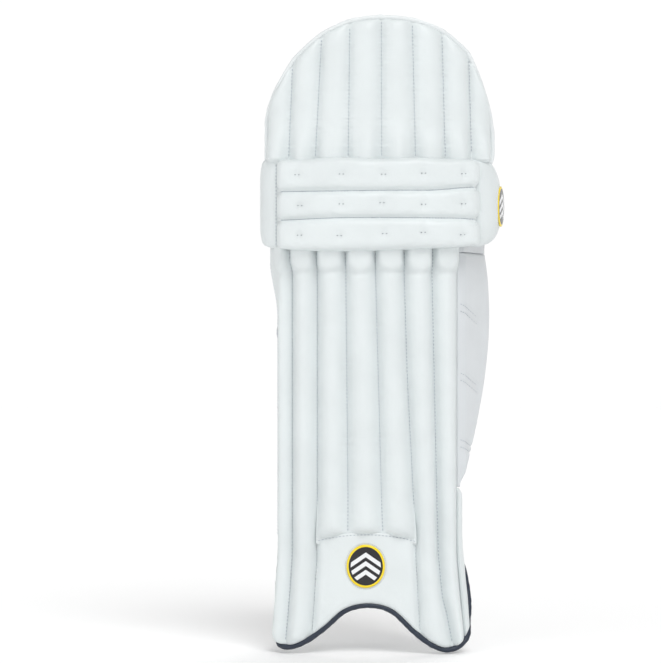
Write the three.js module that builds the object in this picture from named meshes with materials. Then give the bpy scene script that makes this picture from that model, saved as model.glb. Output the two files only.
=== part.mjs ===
import * as THREE from "three";

// A cricket batting leg pad for the left leg, in millimetres.
// +Z runs up the leg, -Y is the side that faces the ball and +X is the outer side of the leg.
// The origin lies on the axis of the leg, level with the crown of the instep arch.

// ---------------------------------------------------------------- driving dimensions

// The foot's piping, as length along the surface and height: two lobes and a broad arch over the instep.
const FOOT_EDGE = [
  [-150, 18.5], [-126, -16], [-104, -38], [-86, -44.8], [-66, -37.5], [-46, -21.5], [-28, -4.5], [-10, 2],
  [10, 1.4], [26, -6], [46, -27], [62, -40.5], [80, -47.5], [98, -40], [138, 9.3],
];
const MIDDLE_RIBS_END = 82; // where the three middle ribs give way to the instep panel
const SHIN_TOP = 397.6;
const KNEE_BOTTOM = 399.4;
const ROLL_SEAMS = [432, 464]; // between the three knee rolls
const KNEE_TOP = 500.6;
const FLAP_BOTTOM = 501.4;
const FLAP_TOP = 661;

const SHIN_BASE_Y = -84; // front of the leg channel's backing, at the middle of the pad
const KNEE_BASE_Y = -88;
const FLAP_LEAN = 0.06; // how far back the top flap leans, per mm of height

const SKIN = 1.2; // leather facing and canvas backing
const GAP = 0.4; // between pieces that touch
const RIB_HEIGHT = 14; // cane and foam in a rib
const ROLL_HEIGHT = 25; // knee roll, in front of its backing
const FLEX_SLOPE = 0.23; // clearance per mm behind a knee hinge, for 12 degrees of flex

const SHIN_INNER_SEAMS = [-101, -88, -59];
const SHIN_MIDDLE_SEAMS = [-59, -25, 9.5, 44];
const SHIN_OUTER_SEAMS = [44, 73, 100];
const FLAP_SEAMS = [-119, -90, -58, -23, 13, 50, 84, 116, 140];
const INNER_EDGE = -150; // back edge of the inner side, along the surface
const ANKLE_EDGE = 138; // back edge of the outer side at the ankle
const KNEE_SIDES = { inner: [-163, -106], outer: [121, 178] };
const WING = { seam: 101, start: 104, depth: 99, widestZ: 328, below: 197, above: 185 };

const STRAP_THICKNESS = 2;
const PIPING_RADIUS = 3.5;

// ---------------------------------------------------------------- materials

const material = (color, roughness) => new THREE.MeshStandardMaterial({ color, roughness, metalness: 0 });
const WHITE_LEATHER = material(0xe9eeef, 0.5);
const CANVAS = material(0xe6e6e2, 0.9);
const CANE = material(0xd9c08a, 0.8);
const FOAM = material(0xf2efe4, 0.95);
const NAVY_PRINT = material(0x3d4352, 0.35);
const MESH_FABRIC = material(0xa9a9b8, 0.9);
const NAVY_PIPING = material(0x2e3748, 0.55);
const WEBBING = material(0xe8e8ee, 0.85);
const HOOK_TAPE = material(0x23252b, 0.9);
const BADGE = material(0x17181b, 0.2);
const TAB = material(0x3d4674, 0.4);

const pad = new THREE.Group();

function add(name, finish, geometry) {
  const mesh = new THREE.Mesh(geometry, finish);
  mesh.name = name;
  pad.add(mesh);
  return mesh;
}

// ---------------------------------------------------------------- the pad's surface

// Half of a section across the pad: a flat arc, a tight corner and a straight flank.
// Returns the point at arc length `length` and the heading there, for the +X side.
function halfSection(length, radius, { flat, corner, flank }) {
  const flatAngle = Math.min(length, flat) / radius;
  const at = { x: radius * Math.sin(flatAngle), y: radius * (1 - Math.cos(flatAngle)), heading: flatAngle };
  if (length <= flat) return at;
  const flankAngle = THREE.MathUtils.degToRad(flank);
  const turned = Math.min(flatAngle + (length - flat) / corner, flankAngle);
  at.x += corner * (Math.sin(turned) - Math.sin(flatAngle));
  at.y += corner * (Math.cos(flatAngle) - Math.cos(turned));
  const straight = Math.max(0, length - flat - corner * (flankAngle - flatAngle));
  return {
    x: at.x + straight * Math.cos(turned),
    y: at.y + straight * Math.sin(turned),
    heading: turned,
  };
}

// A zone is a length of the pad with one section. point(s, z, n) is the place at arc length s
// from the middle (+ is the outer side), height z, and n in front of the backing.
function zone({ radius, inner, outer, baseY, spread = () => 1 }) {
  return {
    point(s, z, n) {
      const side = Math.sign(s) || 1;
      const { x, y, heading } = halfSection(Math.abs(s), radius, s < 0 ? inner : outer);
      return new THREE.Vector3(
        side * (x * spread(z) + n * Math.sin(heading)),
        baseY(z) + y - n * Math.cos(heading),
        z,
      );
    },
  };
}

// The foot of the pad flares forward and outward over the shoe, below z = 60.
const footShare = (z) => Math.max(0, (60 - z) / 104);

const SHIN_INNER_SIDE = { flat: 84, corner: 14, flank: 82 };
const shin = zone({
  radius: 260,
  inner: SHIN_INNER_SIDE,
  outer: { flat: 97, corner: 10, flank: 86 },
  baseY: (z) => SHIN_BASE_Y - 14 * footShare(z) ** 1.5,
  spread: (z) => 1 + 0.09 * footShare(z) ** 1.2,
});
const wing = zone({
  radius: 260,
  inner: SHIN_INNER_SIDE,
  outer: { flat: 97, corner: 10, flank: 70 },
  baseY: () => SHIN_BASE_Y,
});
const knee = zone({
  radius: 300,
  inner: { flat: 104, corner: 22, flank: 86 },
  outer: { flat: 118, corner: 24, flank: 75 },
  baseY: () => KNEE_BASE_Y,
});
const flap = zone({
  radius: 300,
  inner: { flat: 100, corner: 20, flank: 50 },
  outer: { flat: 121, corner: 20, flank: 50 },
  baseY: (z) => KNEE_BASE_Y + FLAP_LEAN * (z - FLAP_BOTTOM),
});

// ---------------------------------------------------------------- geometry helpers

const steps = (from, to, count) => Array.from({ length: count + 1 }, (_, i) => from + ((to - from) * i) / count);

// Closed geometry from shared points and triangles, turned to face outwards.
function closed(points, triangles) {
  const volume = triangles.reduce(
    (sum, [a, b, c]) => sum + points[a].dot(new THREE.Vector3().crossVectors(points[b], points[c])),
    0,
  );
  const facing = volume < 0 ? triangles.map(([a, b, c]) => [a, c, b]) : triangles;
  const geometry = new THREE.BufferGeometry().setFromPoints(points);
  geometry.setIndex(facing.flat());
  geometry.computeVertexNormals();
  return geometry;
}

const quad = (a, b, c, d) => [
  [a, b, c],
  [a, c, d],
];

// A sheet with thickness: columns of arc length s, rows of v from 0 to 1 between bottom(s) and top(s).
function panel(place, { columns, rows = [0, 1], bottom, top, low, high }) {
  const points = [];
  for (const face of [high, low])
    for (const v of rows)
      for (const s of columns) {
        const z = bottom(s) + (top(s) - bottom(s)) * v;
        points.push(place.point(s, z, face(s, v, z)));
      }
  const width = columns.length;
  const layer = width * rows.length;
  const front = (i, j) => j * width + i;
  const back = (i, j) => layer + front(i, j);
  const triangles = [];
  const lastColumn = width - 1;
  const lastRow = rows.length - 1;
  for (let j = 0; j < lastRow; j++)
    for (let i = 0; i < lastColumn; i++) {
      triangles.push(...quad(front(i, j), front(i + 1, j), front(i + 1, j + 1), front(i, j + 1)));
      triangles.push(...quad(back(i, j), back(i, j + 1), back(i + 1, j + 1), back(i + 1, j)));
    }
  for (let i = 0; i < lastColumn; i++) {
    triangles.push(...quad(front(i, 0), back(i, 0), back(i + 1, 0), front(i + 1, 0)));
    triangles.push(...quad(front(i, lastRow), front(i + 1, lastRow), back(i + 1, lastRow), back(i, lastRow)));
  }
  for (let j = 0; j < lastRow; j++) {
    triangles.push(...quad(front(0, j), front(0, j + 1), back(0, j + 1), back(0, j)));
    triangles.push(...quad(front(lastColumn, j), back(lastColumn, j), back(lastColumn, j + 1), front(lastColumn, j + 1)));
  }
  return closed(points, triangles);
}

// Joins rings of equally many points into a wall, from one end to the other.
function wall(rings, first) {
  const count = rings[0].length;
  const triangles = [];
  for (let r = 0; r < rings.length - 1; r++)
    for (let k = 0; k < count; k++) {
      const next = (k + 1) % count;
      const here = first + r * count;
      triangles.push(...quad(here + k, here + next, here + count + next, here + count + k));
    }
  return triangles;
}

// A solid through convex rings.
function loft(rings) {
  const count = rings[0].length;
  const last = (rings.length - 1) * count;
  const triangles = wall(rings, 0);
  for (let k = 1; k < count - 1; k++) {
    triangles.push([0, k + 1, k]);
    triangles.push([last, last + k, last + k + 1]);
  }
  return closed(rings.flat(), triangles);
}

// A tube with a wall, open at both ends.
function sleeve(outer, inner) {
  const count = outer[0].length;
  const shift = outer.length * count;
  const triangles = wall(outer, 0);
  for (const [a, b, c] of wall(inner, shift)) triangles.push([a, c, b]);
  const end = (outer.length - 1) * count;
  for (let k = 0; k < count; k++) {
    const next = (k + 1) % count;
    triangles.push(...quad(k, shift + k, shift + next, next));
    triangles.push(...quad(end + k, end + next, shift + end + next, shift + end + k));
  }
  return closed([...outer.flat(), ...inner.flat()], triangles);
}

// A round cord along points.
function piping(points, radius, count) {
  const section = new THREE.Shape().absarc(0, 0, radius, 0, 2 * Math.PI);
  const path = new THREE.CatmullRomCurve3(points, false, "centripetal");
  return new THREE.ExtrudeGeometry(section, { extrudePath: path, steps: count, curveSegments: 4 });
}

// ---------------------------------------------------------------- ribs

const RIB_COLUMNS = [0, 0.1, 0.3, 0.7, 0.9]; // shares of a rib's width
const RIB_SHAPE = [0, 0.6, 1, 1, 0.6, 0];

// Height of a ribbed facing at s, from 0 at a seam to 1 over the middle of a rib.
function ribShare(seams, s) {
  const next = seams.findIndex((seam) => seam > s + 1e-6);
  const i = next < 0 ? seams.length - 2 : Math.max(0, next - 1);
  const share = THREE.MathUtils.clamp((s - seams[i]) / (seams[i + 1] - seams[i]), 0, 1);
  const marks = [...RIB_COLUMNS, 1];
  const k = Math.max(1, marks.findIndex((mark) => mark >= share - 1e-6));
  const t = (share - marks[k - 1]) / (marks[k] - marks[k - 1]);
  return RIB_SHAPE[k - 1] + (RIB_SHAPE[k] - RIB_SHAPE[k - 1]) * t;
}

function ribColumns(seams) {
  const columns = seams.slice(1).flatMap((to, i) => RIB_COLUMNS.map((share) => seams[i] + (to - seams[i]) * share));
  return [...columns, seams.at(-1)];
}

// A facing sewn down at its seams, and the cane-and-foam strip in each of its ribs.
function ribs({ name, coreNames, place, seams, height = RIB_HEIGHT, rows, ends = () => 1, bottom, top }) {
  const rise = (s, v) => GAP + height * ribShare(seams, s) * ends(v);
  add(
    name,
    WHITE_LEATHER,
    panel(place, {
      columns: ribColumns(seams),
      rows,
      bottom,
      top,
      low: rise,
      high: (s, v) => rise(s, v) + SKIN,
    }),
  );
  coreNames.forEach((coreName, i) => {
    if (!coreName) return;
    const [from, to] = [seams[i], seams[i + 1]];
    add(
      coreName,
      CANE,
      panel(place, {
        columns: [0.14, 0.3, 0.7, 0.86].map((share) => from + (to - from) * share),
        rows: rows.filter((v) => ends(v) === 1),
        bottom,
        top,
        low: () => GAP,
        high: (s, v) => Math.max(GAP + 0.8, rise(s, v) - GAP),
      }),
    );
  });
}

// ---------------------------------------------------------------- foot of the pad

// Slope of the foot's edge at one of its points, from the points on both sides.
function edgeSlope(k) {
  const [from, to] = [FOOT_EDGE[Math.max(k - 1, 0)], FOOT_EDGE[Math.min(k + 1, FOOT_EDGE.length - 1)]];
  return (to[1] - from[1]) / (to[0] - from[0]);
}

// Height of the piping's centre line along the bottom edge: a smooth curve through the points of FOOT_EDGE.
function edgeZ(s) {
  const next = FOOT_EDGE.findIndex(([at]) => at >= s);
  const k = THREE.MathUtils.clamp((next < 0 ? FOOT_EDGE.length : next) - 1, 0, FOOT_EDGE.length - 2);
  const [[start, low], [stop, high]] = [FOOT_EDGE[k], FOOT_EDGE[k + 1]];
  const gap = stop - start;
  const t = (s - start) / gap;
  const bend = gap * t * (1 - t) * (edgeSlope(k) * (1 - t) - edgeSlope(k + 1) * t);
  return low + (high - low) * t * t * (3 - 2 * t) + bend;
}

// The panels stop short of the piping, square to its slope.
function footEdge(s) {
  const slope = edgeZ(s + 0.5) - edgeZ(s - 0.5);
  return edgeZ(s) + (PIPING_RADIUS + 0.8) * Math.hypot(1, slope);
}

const PANEL_EDGE = PIPING_RADIUS + 1; // how far a panel stops short of the piping's centre at the side
const bottomPath = [
  ...[62, 56].map((z) => shin.point(INNER_EDGE, z, 2)),
  ...steps(INNER_EDGE, ANKLE_EDGE, 36).map((s) => shin.point(s, edgeZ(s), 2)),
  ...[14, 36, 58].map((z) => shin.point(ANKLE_EDGE, z, 2)),
];
add("bottom_piping", NAVY_PIPING, piping(bottomPath, PIPING_RADIUS, 64));

// ---------------------------------------------------------------- shin guard

const FOOT_ROWS = [0, 0.08, 0.16, 0.24, 1];
const shinTop = () => SHIN_TOP;
ribs({
  name: "shin_facing_inner",
  coreNames: [null, "shin_cane_1"],
  place: shin,
  seams: SHIN_INNER_SEAMS,
  rows: FOOT_ROWS,
  bottom: footEdge,
  top: shinTop,
});
const roundedFoot = (v) => (v === 0 ? 0.35 : 1);
ribs({
  name: "shin_facing_middle",
  coreNames: ["shin_cane_2", "shin_cane_3", "shin_cane_4"],
  place: shin,
  seams: SHIN_MIDDLE_SEAMS.map((s, i) => s + (i === 0 ? 0.3 : 0) - (i === 3 ? 0.3 : 0)),
  rows: [0, 0.04, 1],
  ends: roundedFoot,
  bottom: () => MIDDLE_RIBS_END,
  top: shinTop,
});
ribs({
  name: "shin_facing_outer",
  coreNames: ["shin_cane_5", "shin_cane_6"],
  place: shin,
  seams: SHIN_OUTER_SEAMS,
  rows: FOOT_ROWS,
  bottom: footEdge,
  top: shinTop,
});

// The backing sheet, from the back edge of the inner side to the wing's seam.
add(
  "shin_backing",
  CANVAS,
  panel(shin, {
    columns: [INNER_EDGE + PANEL_EDGE, -125, -99.5, -92, ...steps(-84, 96, 15), 99.5],
    rows: FOOT_ROWS,
    bottom: footEdge,
    top: (s) => SHIN_TOP - (s < -84 ? FLEX_SLOPE * (Math.abs(s) - 84) * 0.6 : 0),
    low: () => -SKIN,
    high: () => 0,
  }),
);

// The instep panel fills the arch between the two side ribs.
const INSTEP_PAD = 6;
const INSTEP_BASE = 0.9;
const instep = (low, high, bottomGap) => ({
  columns: steps(SHIN_MIDDLE_SEAMS[0] + 0.8, SHIN_MIDDLE_SEAMS[3] - 0.8, 10),
  rows: [0, 0.35, 0.7, 1],
  bottom: (s) => footEdge(s) + bottomGap,
  top: () => MIDDLE_RIBS_END - 1 - bottomGap,
  low: () => low,
  high: () => high,
});
const instepFoamFace = INSTEP_BASE + INSTEP_PAD;
const instepFace = instepFoamFace + GAP + SKIN;
add("instep_foam", FOAM, panel(shin, instep(INSTEP_BASE, instepFoamFace, 2)));
add("instep_facing", WHITE_LEATHER, panel(shin, instep(instepFoamFace + GAP, instepFace, 0)));

// The inner side stands up along the calf. Its front edge meets the side rib.
const INNER_SIDE_COLUMNS = [INNER_EDGE + PANEL_EDGE, -140, -125, -112, -101.6];
const innerSideTop = (s) => SHIN_TOP - 2 - 0.2 * (Math.abs(s) - 101);
const innerSide = (low, high, inset) => ({
  columns: INNER_SIDE_COLUMNS.map((s, i) => s + (i === 0 ? inset : 0) - (i === 4 ? inset : 0)),
  rows: FOOT_ROWS,
  bottom: (s) => footEdge(s) + inset,
  top: (s) => innerSideTop(s) - inset,
  low: () => low,
  high: () => high,
});
add("inner_side_foam", FOAM, panel(shin, innerSide(GAP, 4.6, 1.5)));
add("inner_side_facing", WHITE_LEATHER, panel(shin, innerSide(5, 5 + SKIN, 0)));

// The outer side of the ankle carries the bottom strap.
const ANKLE_TOP = 128;
add(
  "ankle_side",
  WHITE_LEATHER,
  panel(shin, {
    columns: [100.6, 106, 114, 126, ANKLE_EDGE - PANEL_EDGE],
    rows: [0, 0.3, 0.6, 1],
    bottom: footEdge,
    top: (s) => ANKLE_TOP - 0.3 * (s - 100),
    low: () => -SKIN,
    high: () => 5,
  }),
);

// Cushions against the leg. Each is a closed pad behind the backing, with its own cover.
const CUSHION = { half: 26, thickness: 25, bottom: 66, top: 386 };
const BOLSTER = { from: 31, to: 82, thickness: 30, bottom: 62, top: 386 };
const cushionRing = (z, inset) => {
  const half = CUSHION.half - inset;
  const near = -SKIN - GAP - inset;
  const far = -SKIN - GAP - CUSHION.thickness + inset;
  const front = [-half, 0, half].map((s) => shin.point(s, z, near));
  const farY = shin.point(0, z, far).y;
  const narrow = half - 5;
  return [...front, new THREE.Vector3(half, farY - 5, z), new THREE.Vector3(narrow, farY, z), new THREE.Vector3(-narrow, farY, z), new THREE.Vector3(-half, farY - 5, z)];
};
add(
  "shin_cushion_cover",
  NAVY_PRINT,
  sleeve(
    [CUSHION.bottom, CUSHION.top].map((z) => cushionRing(z, 0)),
    [CUSHION.bottom, CUSHION.top].map((z) => cushionRing(z, SKIN)),
  ),
);
add("shin_cushion_foam", FOAM, loft([CUSHION.bottom + 2, CUSHION.top - 2].map((z) => cushionRing(z, SKIN + GAP))));

for (const side of [-1, 1]) {
  const thickness = (s) => {
    const share = (Math.abs(s) - BOLSTER.from) / (BOLSTER.to - BOLSTER.from);
    return BOLSTER.thickness * (0.72 + 0.28 * Math.sin(Math.PI * share));
  };
  add(
    side < 0 ? "mesh_bolster_inner" : "mesh_bolster_outer",
    MESH_FABRIC,
    panel(shin, {
      columns: steps(side * BOLSTER.from, side * BOLSTER.to, 4).sort((a, b) => a - b),
      rows: [0, 0.05, 0.95, 1],
      bottom: () => BOLSTER.bottom,
      top: () => BOLSTER.top,
      low: (s, v) => -SKIN - GAP - thickness(s) * (v === 0 || v === 1 ? 0.7 : 1),
      high: () => -SKIN - GAP,
    }),
  );
}

// ---------------------------------------------------------------- badges

// An oval badge, bent to the surface under it. n is the distance of its two faces from the backing.
function badge(name, place, { s, z, n, width, height }) {
  const across = [-0.97, -0.85, -0.62, -0.33, 0, 0.33, 0.62, 0.85, 0.97];
  const halfHeight = (at) => (height / 2) * Math.sqrt(1 - ((at - s) / (width / 2)) ** 2);
  add(
    name,
    BADGE,
    panel(place, {
      columns: across.map((share) => s + (share * width) / 2),
      bottom: (at) => z - halfHeight(at),
      top: (at) => z + halfHeight(at),
      low: () => n[0],
      high: () => n[1],
    }),
  );
}

badge("instep_badge", shin, { s: -3.5, z: 46, n: [instepFace + 0.7, instepFace + 2.7], width: 41, height: 48 });

// ---------------------------------------------------------------- calf wing

// How far the wing reaches back from its seam at height z.
function wingDepth(z) {
  const reach = z < WING.widestZ ? WING.below : WING.above;
  return WING.depth * Math.cos(((Math.PI / 2) * (WING.widestZ - z)) / reach);
}

// The wing's sheets run in rows of height, so each row has its own width.
function wingSheet({ low, high, inset }) {
  const heights = [138, 160, 190, 225, 265, 305, 345, 372, 392];
  const across = [0, 0.08, 0.5, 1];
  const rings = (face) =>
    heights.map((z) =>
      across.map((share) => {
        const depth = wingDepth(z) - inset;
        const back = WING.seam + Math.max(depth, WING.start - WING.seam + 4);
        const s = WING.start + inset + (back - WING.start - inset) * share;
        const lowered = z > 380 ? 0.16 * (s - WING.seam) * ((z - 380) / 12) : 0;
        return wing.point(s, z + inset * (z < 200 ? 1 : -1) - lowered, face(s));
      }),
    );
  const rows = heights.length;
  const width = across.length;
  const points = [...rings(high).flat(), ...rings(low).flat()];
  const triangles = [];
  const front = (i, j) => j * width + i;
  const back = (i, j) => rows * width + front(i, j);
  for (let j = 0; j < rows - 1; j++) {
    for (let i = 0; i < width - 1; i++) {
      triangles.push(...quad(front(i, j), front(i + 1, j), front(i + 1, j + 1), front(i, j + 1)));
      triangles.push(...quad(back(i, j), back(i, j + 1), back(i + 1, j + 1), back(i + 1, j)));
    }
    triangles.push(...quad(front(0, j), front(0, j + 1), back(0, j + 1), back(0, j)));
    triangles.push(...quad(front(width - 1, j), back(width - 1, j), back(width - 1, j + 1), front(width - 1, j + 1)));
  }
  for (let i = 0; i < width - 1; i++) {
    triangles.push(...quad(front(i, 0), back(i, 0), back(i + 1, 0), front(i + 1, 0)));
    triangles.push(...quad(front(i, rows - 1), front(i + 1, rows - 1), back(i + 1, rows - 1), back(i, rows - 1)));
  }
  return closed(points, triangles);
}

const wingSwell = (s) => Math.min(1, 0.3 + (s - WING.start) / 12); // the wing is thin along its seam
add("wing_lining", CANVAS, wingSheet({ low: () => -SKIN, high: () => 0, inset: 0 }));
add("wing_foam", FOAM, wingSheet({ low: () => GAP, high: (s) => GAP + 5 * wingSwell(s), inset: 1.5 }));
add(
  "wing_facing",
  WHITE_LEATHER,
  wingSheet({ low: (s) => 1.2 + 5 * wingSwell(s), high: (s) => 1.2 + SKIN + 5 * wingSwell(s), inset: 0 }),
);

// ---------------------------------------------------------------- knee rolls and knee sides

const KNEE_HINGE_Y = -86;
const FLAP_HINGE_Y = -88;
// Whatever lies behind a hinge has to clear what is below it when the pad flexes.
const behind = (place, s, z, hingeY) => Math.max(0, place.point(s, z, -2).y - hingeY);
const kneeFloor = (s) => KNEE_BOTTOM + FLEX_SLOPE * behind(knee, s, KNEE_BOTTOM, KNEE_HINGE_Y);
const flapFloor = (s) => FLAP_BOTTOM + FLEX_SLOPE * behind(flap, s, FLAP_BOTTOM, FLAP_HINGE_Y);

// A knee roll's section at s, n forward and z up, with round corners.
function rollRing(s, bottom, top, height, inset) {
  const middle = (bottom + top) / 2;
  const half = (top - bottom) / 2 - inset;
  const shape = [
    [0, -0.8],
    [0.45, -1],
    [0.85, -0.75],
    [1, 0],
    [0.85, 0.75],
    [0.45, 1],
    [0, 0.8],
  ];
  return shape.map(([n, z]) => knee.point(s, middle + z * half, ROLL_BASE + inset + n * (height - 2 * inset)));
}

const ROLL_BASE = 1.2;
const ROLL_STATIONS = [-100, -94, -60, -20, 20, 60, 106, 112];
const rollBounds = [KNEE_BOTTOM, ...ROLL_SEAMS, KNEE_TOP];
["lower", "middle", "upper"].forEach((which, i) => {
  const rings = (inset) =>
    ROLL_STATIONS.map((s, k) => {
      const end = k === 0 || k === ROLL_STATIONS.length - 1;
      const bottom = Math.max(rollBounds[i] + GAP, kneeFloor(s));
      const drop = end ? 2 : 0;
      return rollRing(s, bottom + drop, rollBounds[i + 1] - GAP - drop, ROLL_HEIGHT * (end ? 0.7 : 1), inset);
    });
  add(`knee_roll_${which}_cover`, WHITE_LEATHER, sleeve(rings(0), rings(SKIN)));
  add(`knee_roll_${which}_foam`, FOAM, loft(rings(SKIN + GAP).slice(1, -1)));
});

const kneeTopAt = (s) => KNEE_TOP - 0.12 * behind(knee, s, KNEE_TOP, FLAP_HINGE_Y);
add(
  "knee_backing",
  CANVAS,
  panel(knee, {
    columns: [...steps(...KNEE_SIDES.inner, 6), ...steps(-96, 112, 12), ...steps(...KNEE_SIDES.outer, 6)],
    rows: [0, 1],
    bottom: kneeFloor,
    top: kneeTopAt,
    low: () => -SKIN,
    high: () => 0,
  }),
);

// Padded panels that wrap the sides of the knee, with a rounded back edge.
for (const [name, [from, to]] of Object.entries(KNEE_SIDES)) {
  const backEdge = name === "inner" ? from : to;
  const reach = Math.abs(to - from);
  const squeeze = (s) => (1 - Math.abs(s - backEdge) / reach) ** 3;
  add(
    `knee_side_${name}`,
    WHITE_LEATHER,
    panel(knee, {
      columns: steps(from, to, 6),
      rows: [0, 0.25, 0.75, 1],
      bottom: (s) => kneeFloor(s) + 8 * squeeze(s),
      top: (s) => kneeTopAt(s) - 14 * squeeze(s),
      low: () => GAP,
      high: (s, v) => GAP + (v === 0 || v === 1 ? 4 : 8),
    }),
  );
}

badge("knee_badge", knee, { s: 159, z: 450, n: [8.9, 10.9], width: 34, height: 46 });

// The knee cup is the firm block over the kneecap, in a printed cover, between two soft bolsters.
const CUP = { half: 40, thickness: 24 };
const cupPanel = (inset) => ({
  columns: steps(-CUP.half + inset, CUP.half - inset, 4),
  rows: [0, 0.12, 0.88, 1],
  bottom: () => KNEE_BOTTOM + 11 + inset,
  top: () => KNEE_TOP - 1 - inset,
  low: (s, v) => -SKIN - GAP - (v === 0 || v === 1 ? 0.6 : 1) * CUP.thickness + inset,
  high: () => -SKIN - GAP - inset,
});
const cupShell = (inset) => {
  const { columns, low, high } = cupPanel(inset);
  const z = [KNEE_BOTTOM + 11, KNEE_TOP - 1];
  return z.map((height) => [
    ...columns.map((s) => knee.point(s, height, high())),
    ...[...columns].reverse().map((s) => knee.point(s, height, low(s, 0.5))),
  ]);
};
add("knee_cup_cover", NAVY_PRINT, sleeve(cupShell(0), cupShell(SKIN)));
add("knee_cup_foam", FOAM, loft(cupShell(SKIN + GAP).map((ring, i) => ring.map((p) => p.clone().setZ(p.z + (i ? -3 : 3))))));

for (const [name, columns] of Object.entries({
  inner: [-142, -130, -117, -104, -74, -CUP.half - 1],
  outer: [CUP.half + 1, 80, 118, 130, 140, 150],
})) {
  const thickness = (s) => (Math.abs(s) > 100 ? 13 : 20);
  add(
    `knee_bolster_${name}`,
    WHITE_LEATHER,
    panel(knee, {
      columns,
      rows: [0, 0.12, 0.88, 1],
      bottom: (s) => kneeFloor(s) + 5,
      top: (s) => kneeTopAt(s) - 2,
      low: (s, v) => -SKIN - GAP - thickness(s) * (v === 0 || v === 1 ? 0.6 : 1),
      high: () => -SKIN - GAP,
    }),
  );
}

// ---------------------------------------------------------------- top flap

const FLAP_MIDDLE = 10;
const FLAP_HALF = 129;
const FLAP_SHOULDER = 513; // below this the flap's sides are straight

// The flap's outline is a superellipse, squarer on the outer side.
function flapTop(s) {
  const x = flap.point(s, FLAP_SHOULDER, 0).x;
  const power = x < FLAP_MIDDLE ? 2 : 2.5;
  const share = Math.min(1, Math.abs(x - FLAP_MIDDLE) / FLAP_HALF);
  return FLAP_SHOULDER + (FLAP_TOP - FLAP_SHOULDER - 5) * (1 - share ** power) ** (1 / power);
}

const FLAP_PIPING = 2.4;
const FLAP_EDGE = 3.4; // from the panels to the centre of the piping at the sides
const flapPanelTop = (s) => {
  const slope = flapTop(s + 0.5) - flapTop(s - 0.5);
  return Math.max(flapTop(s) - (FLAP_PIPING + 0.8) * Math.hypot(1, slope), flapFloor(s) + 12);
};
ribs({
  name: "flap_facing",
  coreNames: [null, null, "flap_cane_1", "flap_cane_2", "flap_cane_3", "flap_cane_4", null, null],
  place: flap,
  seams: FLAP_SEAMS,
  height: 10,
  rows: [0, 0.93, 1],
  ends: (v) => (v === 1 ? 0.3 : 1),
  bottom: flapFloor,
  top: flapPanelTop,
});
add(
  "flap_lining",
  NAVY_PRINT,
  panel(flap, {
    columns: ribColumns(FLAP_SEAMS),
    rows: [0, 1],
    bottom: (s) => flapFloor(s) + 1,
    top: flapPanelTop,
    low: () => -5,
    high: () => 0,
  }),
);
const flapPipingAt = (s) => flap.point(s, Math.max(flapTop(s), flapFloor(s) + 14), 2);
const flapPath = [
  flap.point(FLAP_SEAMS[0] - FLAP_EDGE, flapFloor(FLAP_SEAMS[0]) + 5, 2),
  ...steps(FLAP_SEAMS[0] - FLAP_EDGE, FLAP_SEAMS.at(-1) + FLAP_EDGE, 30).map(flapPipingAt),
  flap.point(FLAP_SEAMS.at(-1) + FLAP_EDGE, flapFloor(FLAP_SEAMS.at(-1)) + 5, 2),
];
add("flap_piping", WHITE_LEATHER, piping(flapPath, FLAP_PIPING, 44));
badge("flap_badge", flap, { s: 0, z: 591, n: [-7.5, -5.5], width: 68, height: 82 });

// ---------------------------------------------------------------- straps

// Each strap is sewn inside the outer side, passes behind the leg and grips a loop band that is sewn
// inside the inner side. `line` is the strap's own inner face, from the outer end to the inner end.
function strapLine({ place, innerPlace, z, outerS, outerN, behindLeg, innerS, innerN }) {
  const points = [
    ...outerS.map((s) => place.point(s, z, outerN)),
    ...behindLeg.map(([x, y]) => new THREE.Vector3(x, y, z)),
    ...innerS.map((s) => innerPlace.point(s, z, innerN)),
  ];
  return new THREE.CatmullRomCurve3(points, false, "centripetal");
}

// A flat band along part of a line, between two distances outside it. The line is cut into equal
// stations, so bands that lie on one another bend at the same places.
// `halfWidth` may change along the band; `tilt` is the rise per mm towards -X.
const STATIONS = 44;
function band(line, { from, to, low, high, halfWidth, tilt }) {
  const stations = [from];
  for (let k = Math.floor(from) + 1; k < to; k++) stations.push(k);
  stations.push(to);
  const rings = stations.map((k) => {
    const at = line.getPointAt(k / STATIONS);
    const along = line.getTangentAt(k / STATIONS);
    const out = new THREE.Vector3(along.y, -along.x, 0).normalize();
    const half = halfWidth((k - from) / (to - from));
    const middle = at.z - tilt * at.x;
    return [
      [low, -half],
      [high, -half],
      [high, half],
      [low, half],
    ].map(([offset, dz]) => at.clone().addScaledVector(out, offset).setZ(middle + dz));
  });
  return loft(rings);
}

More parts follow.
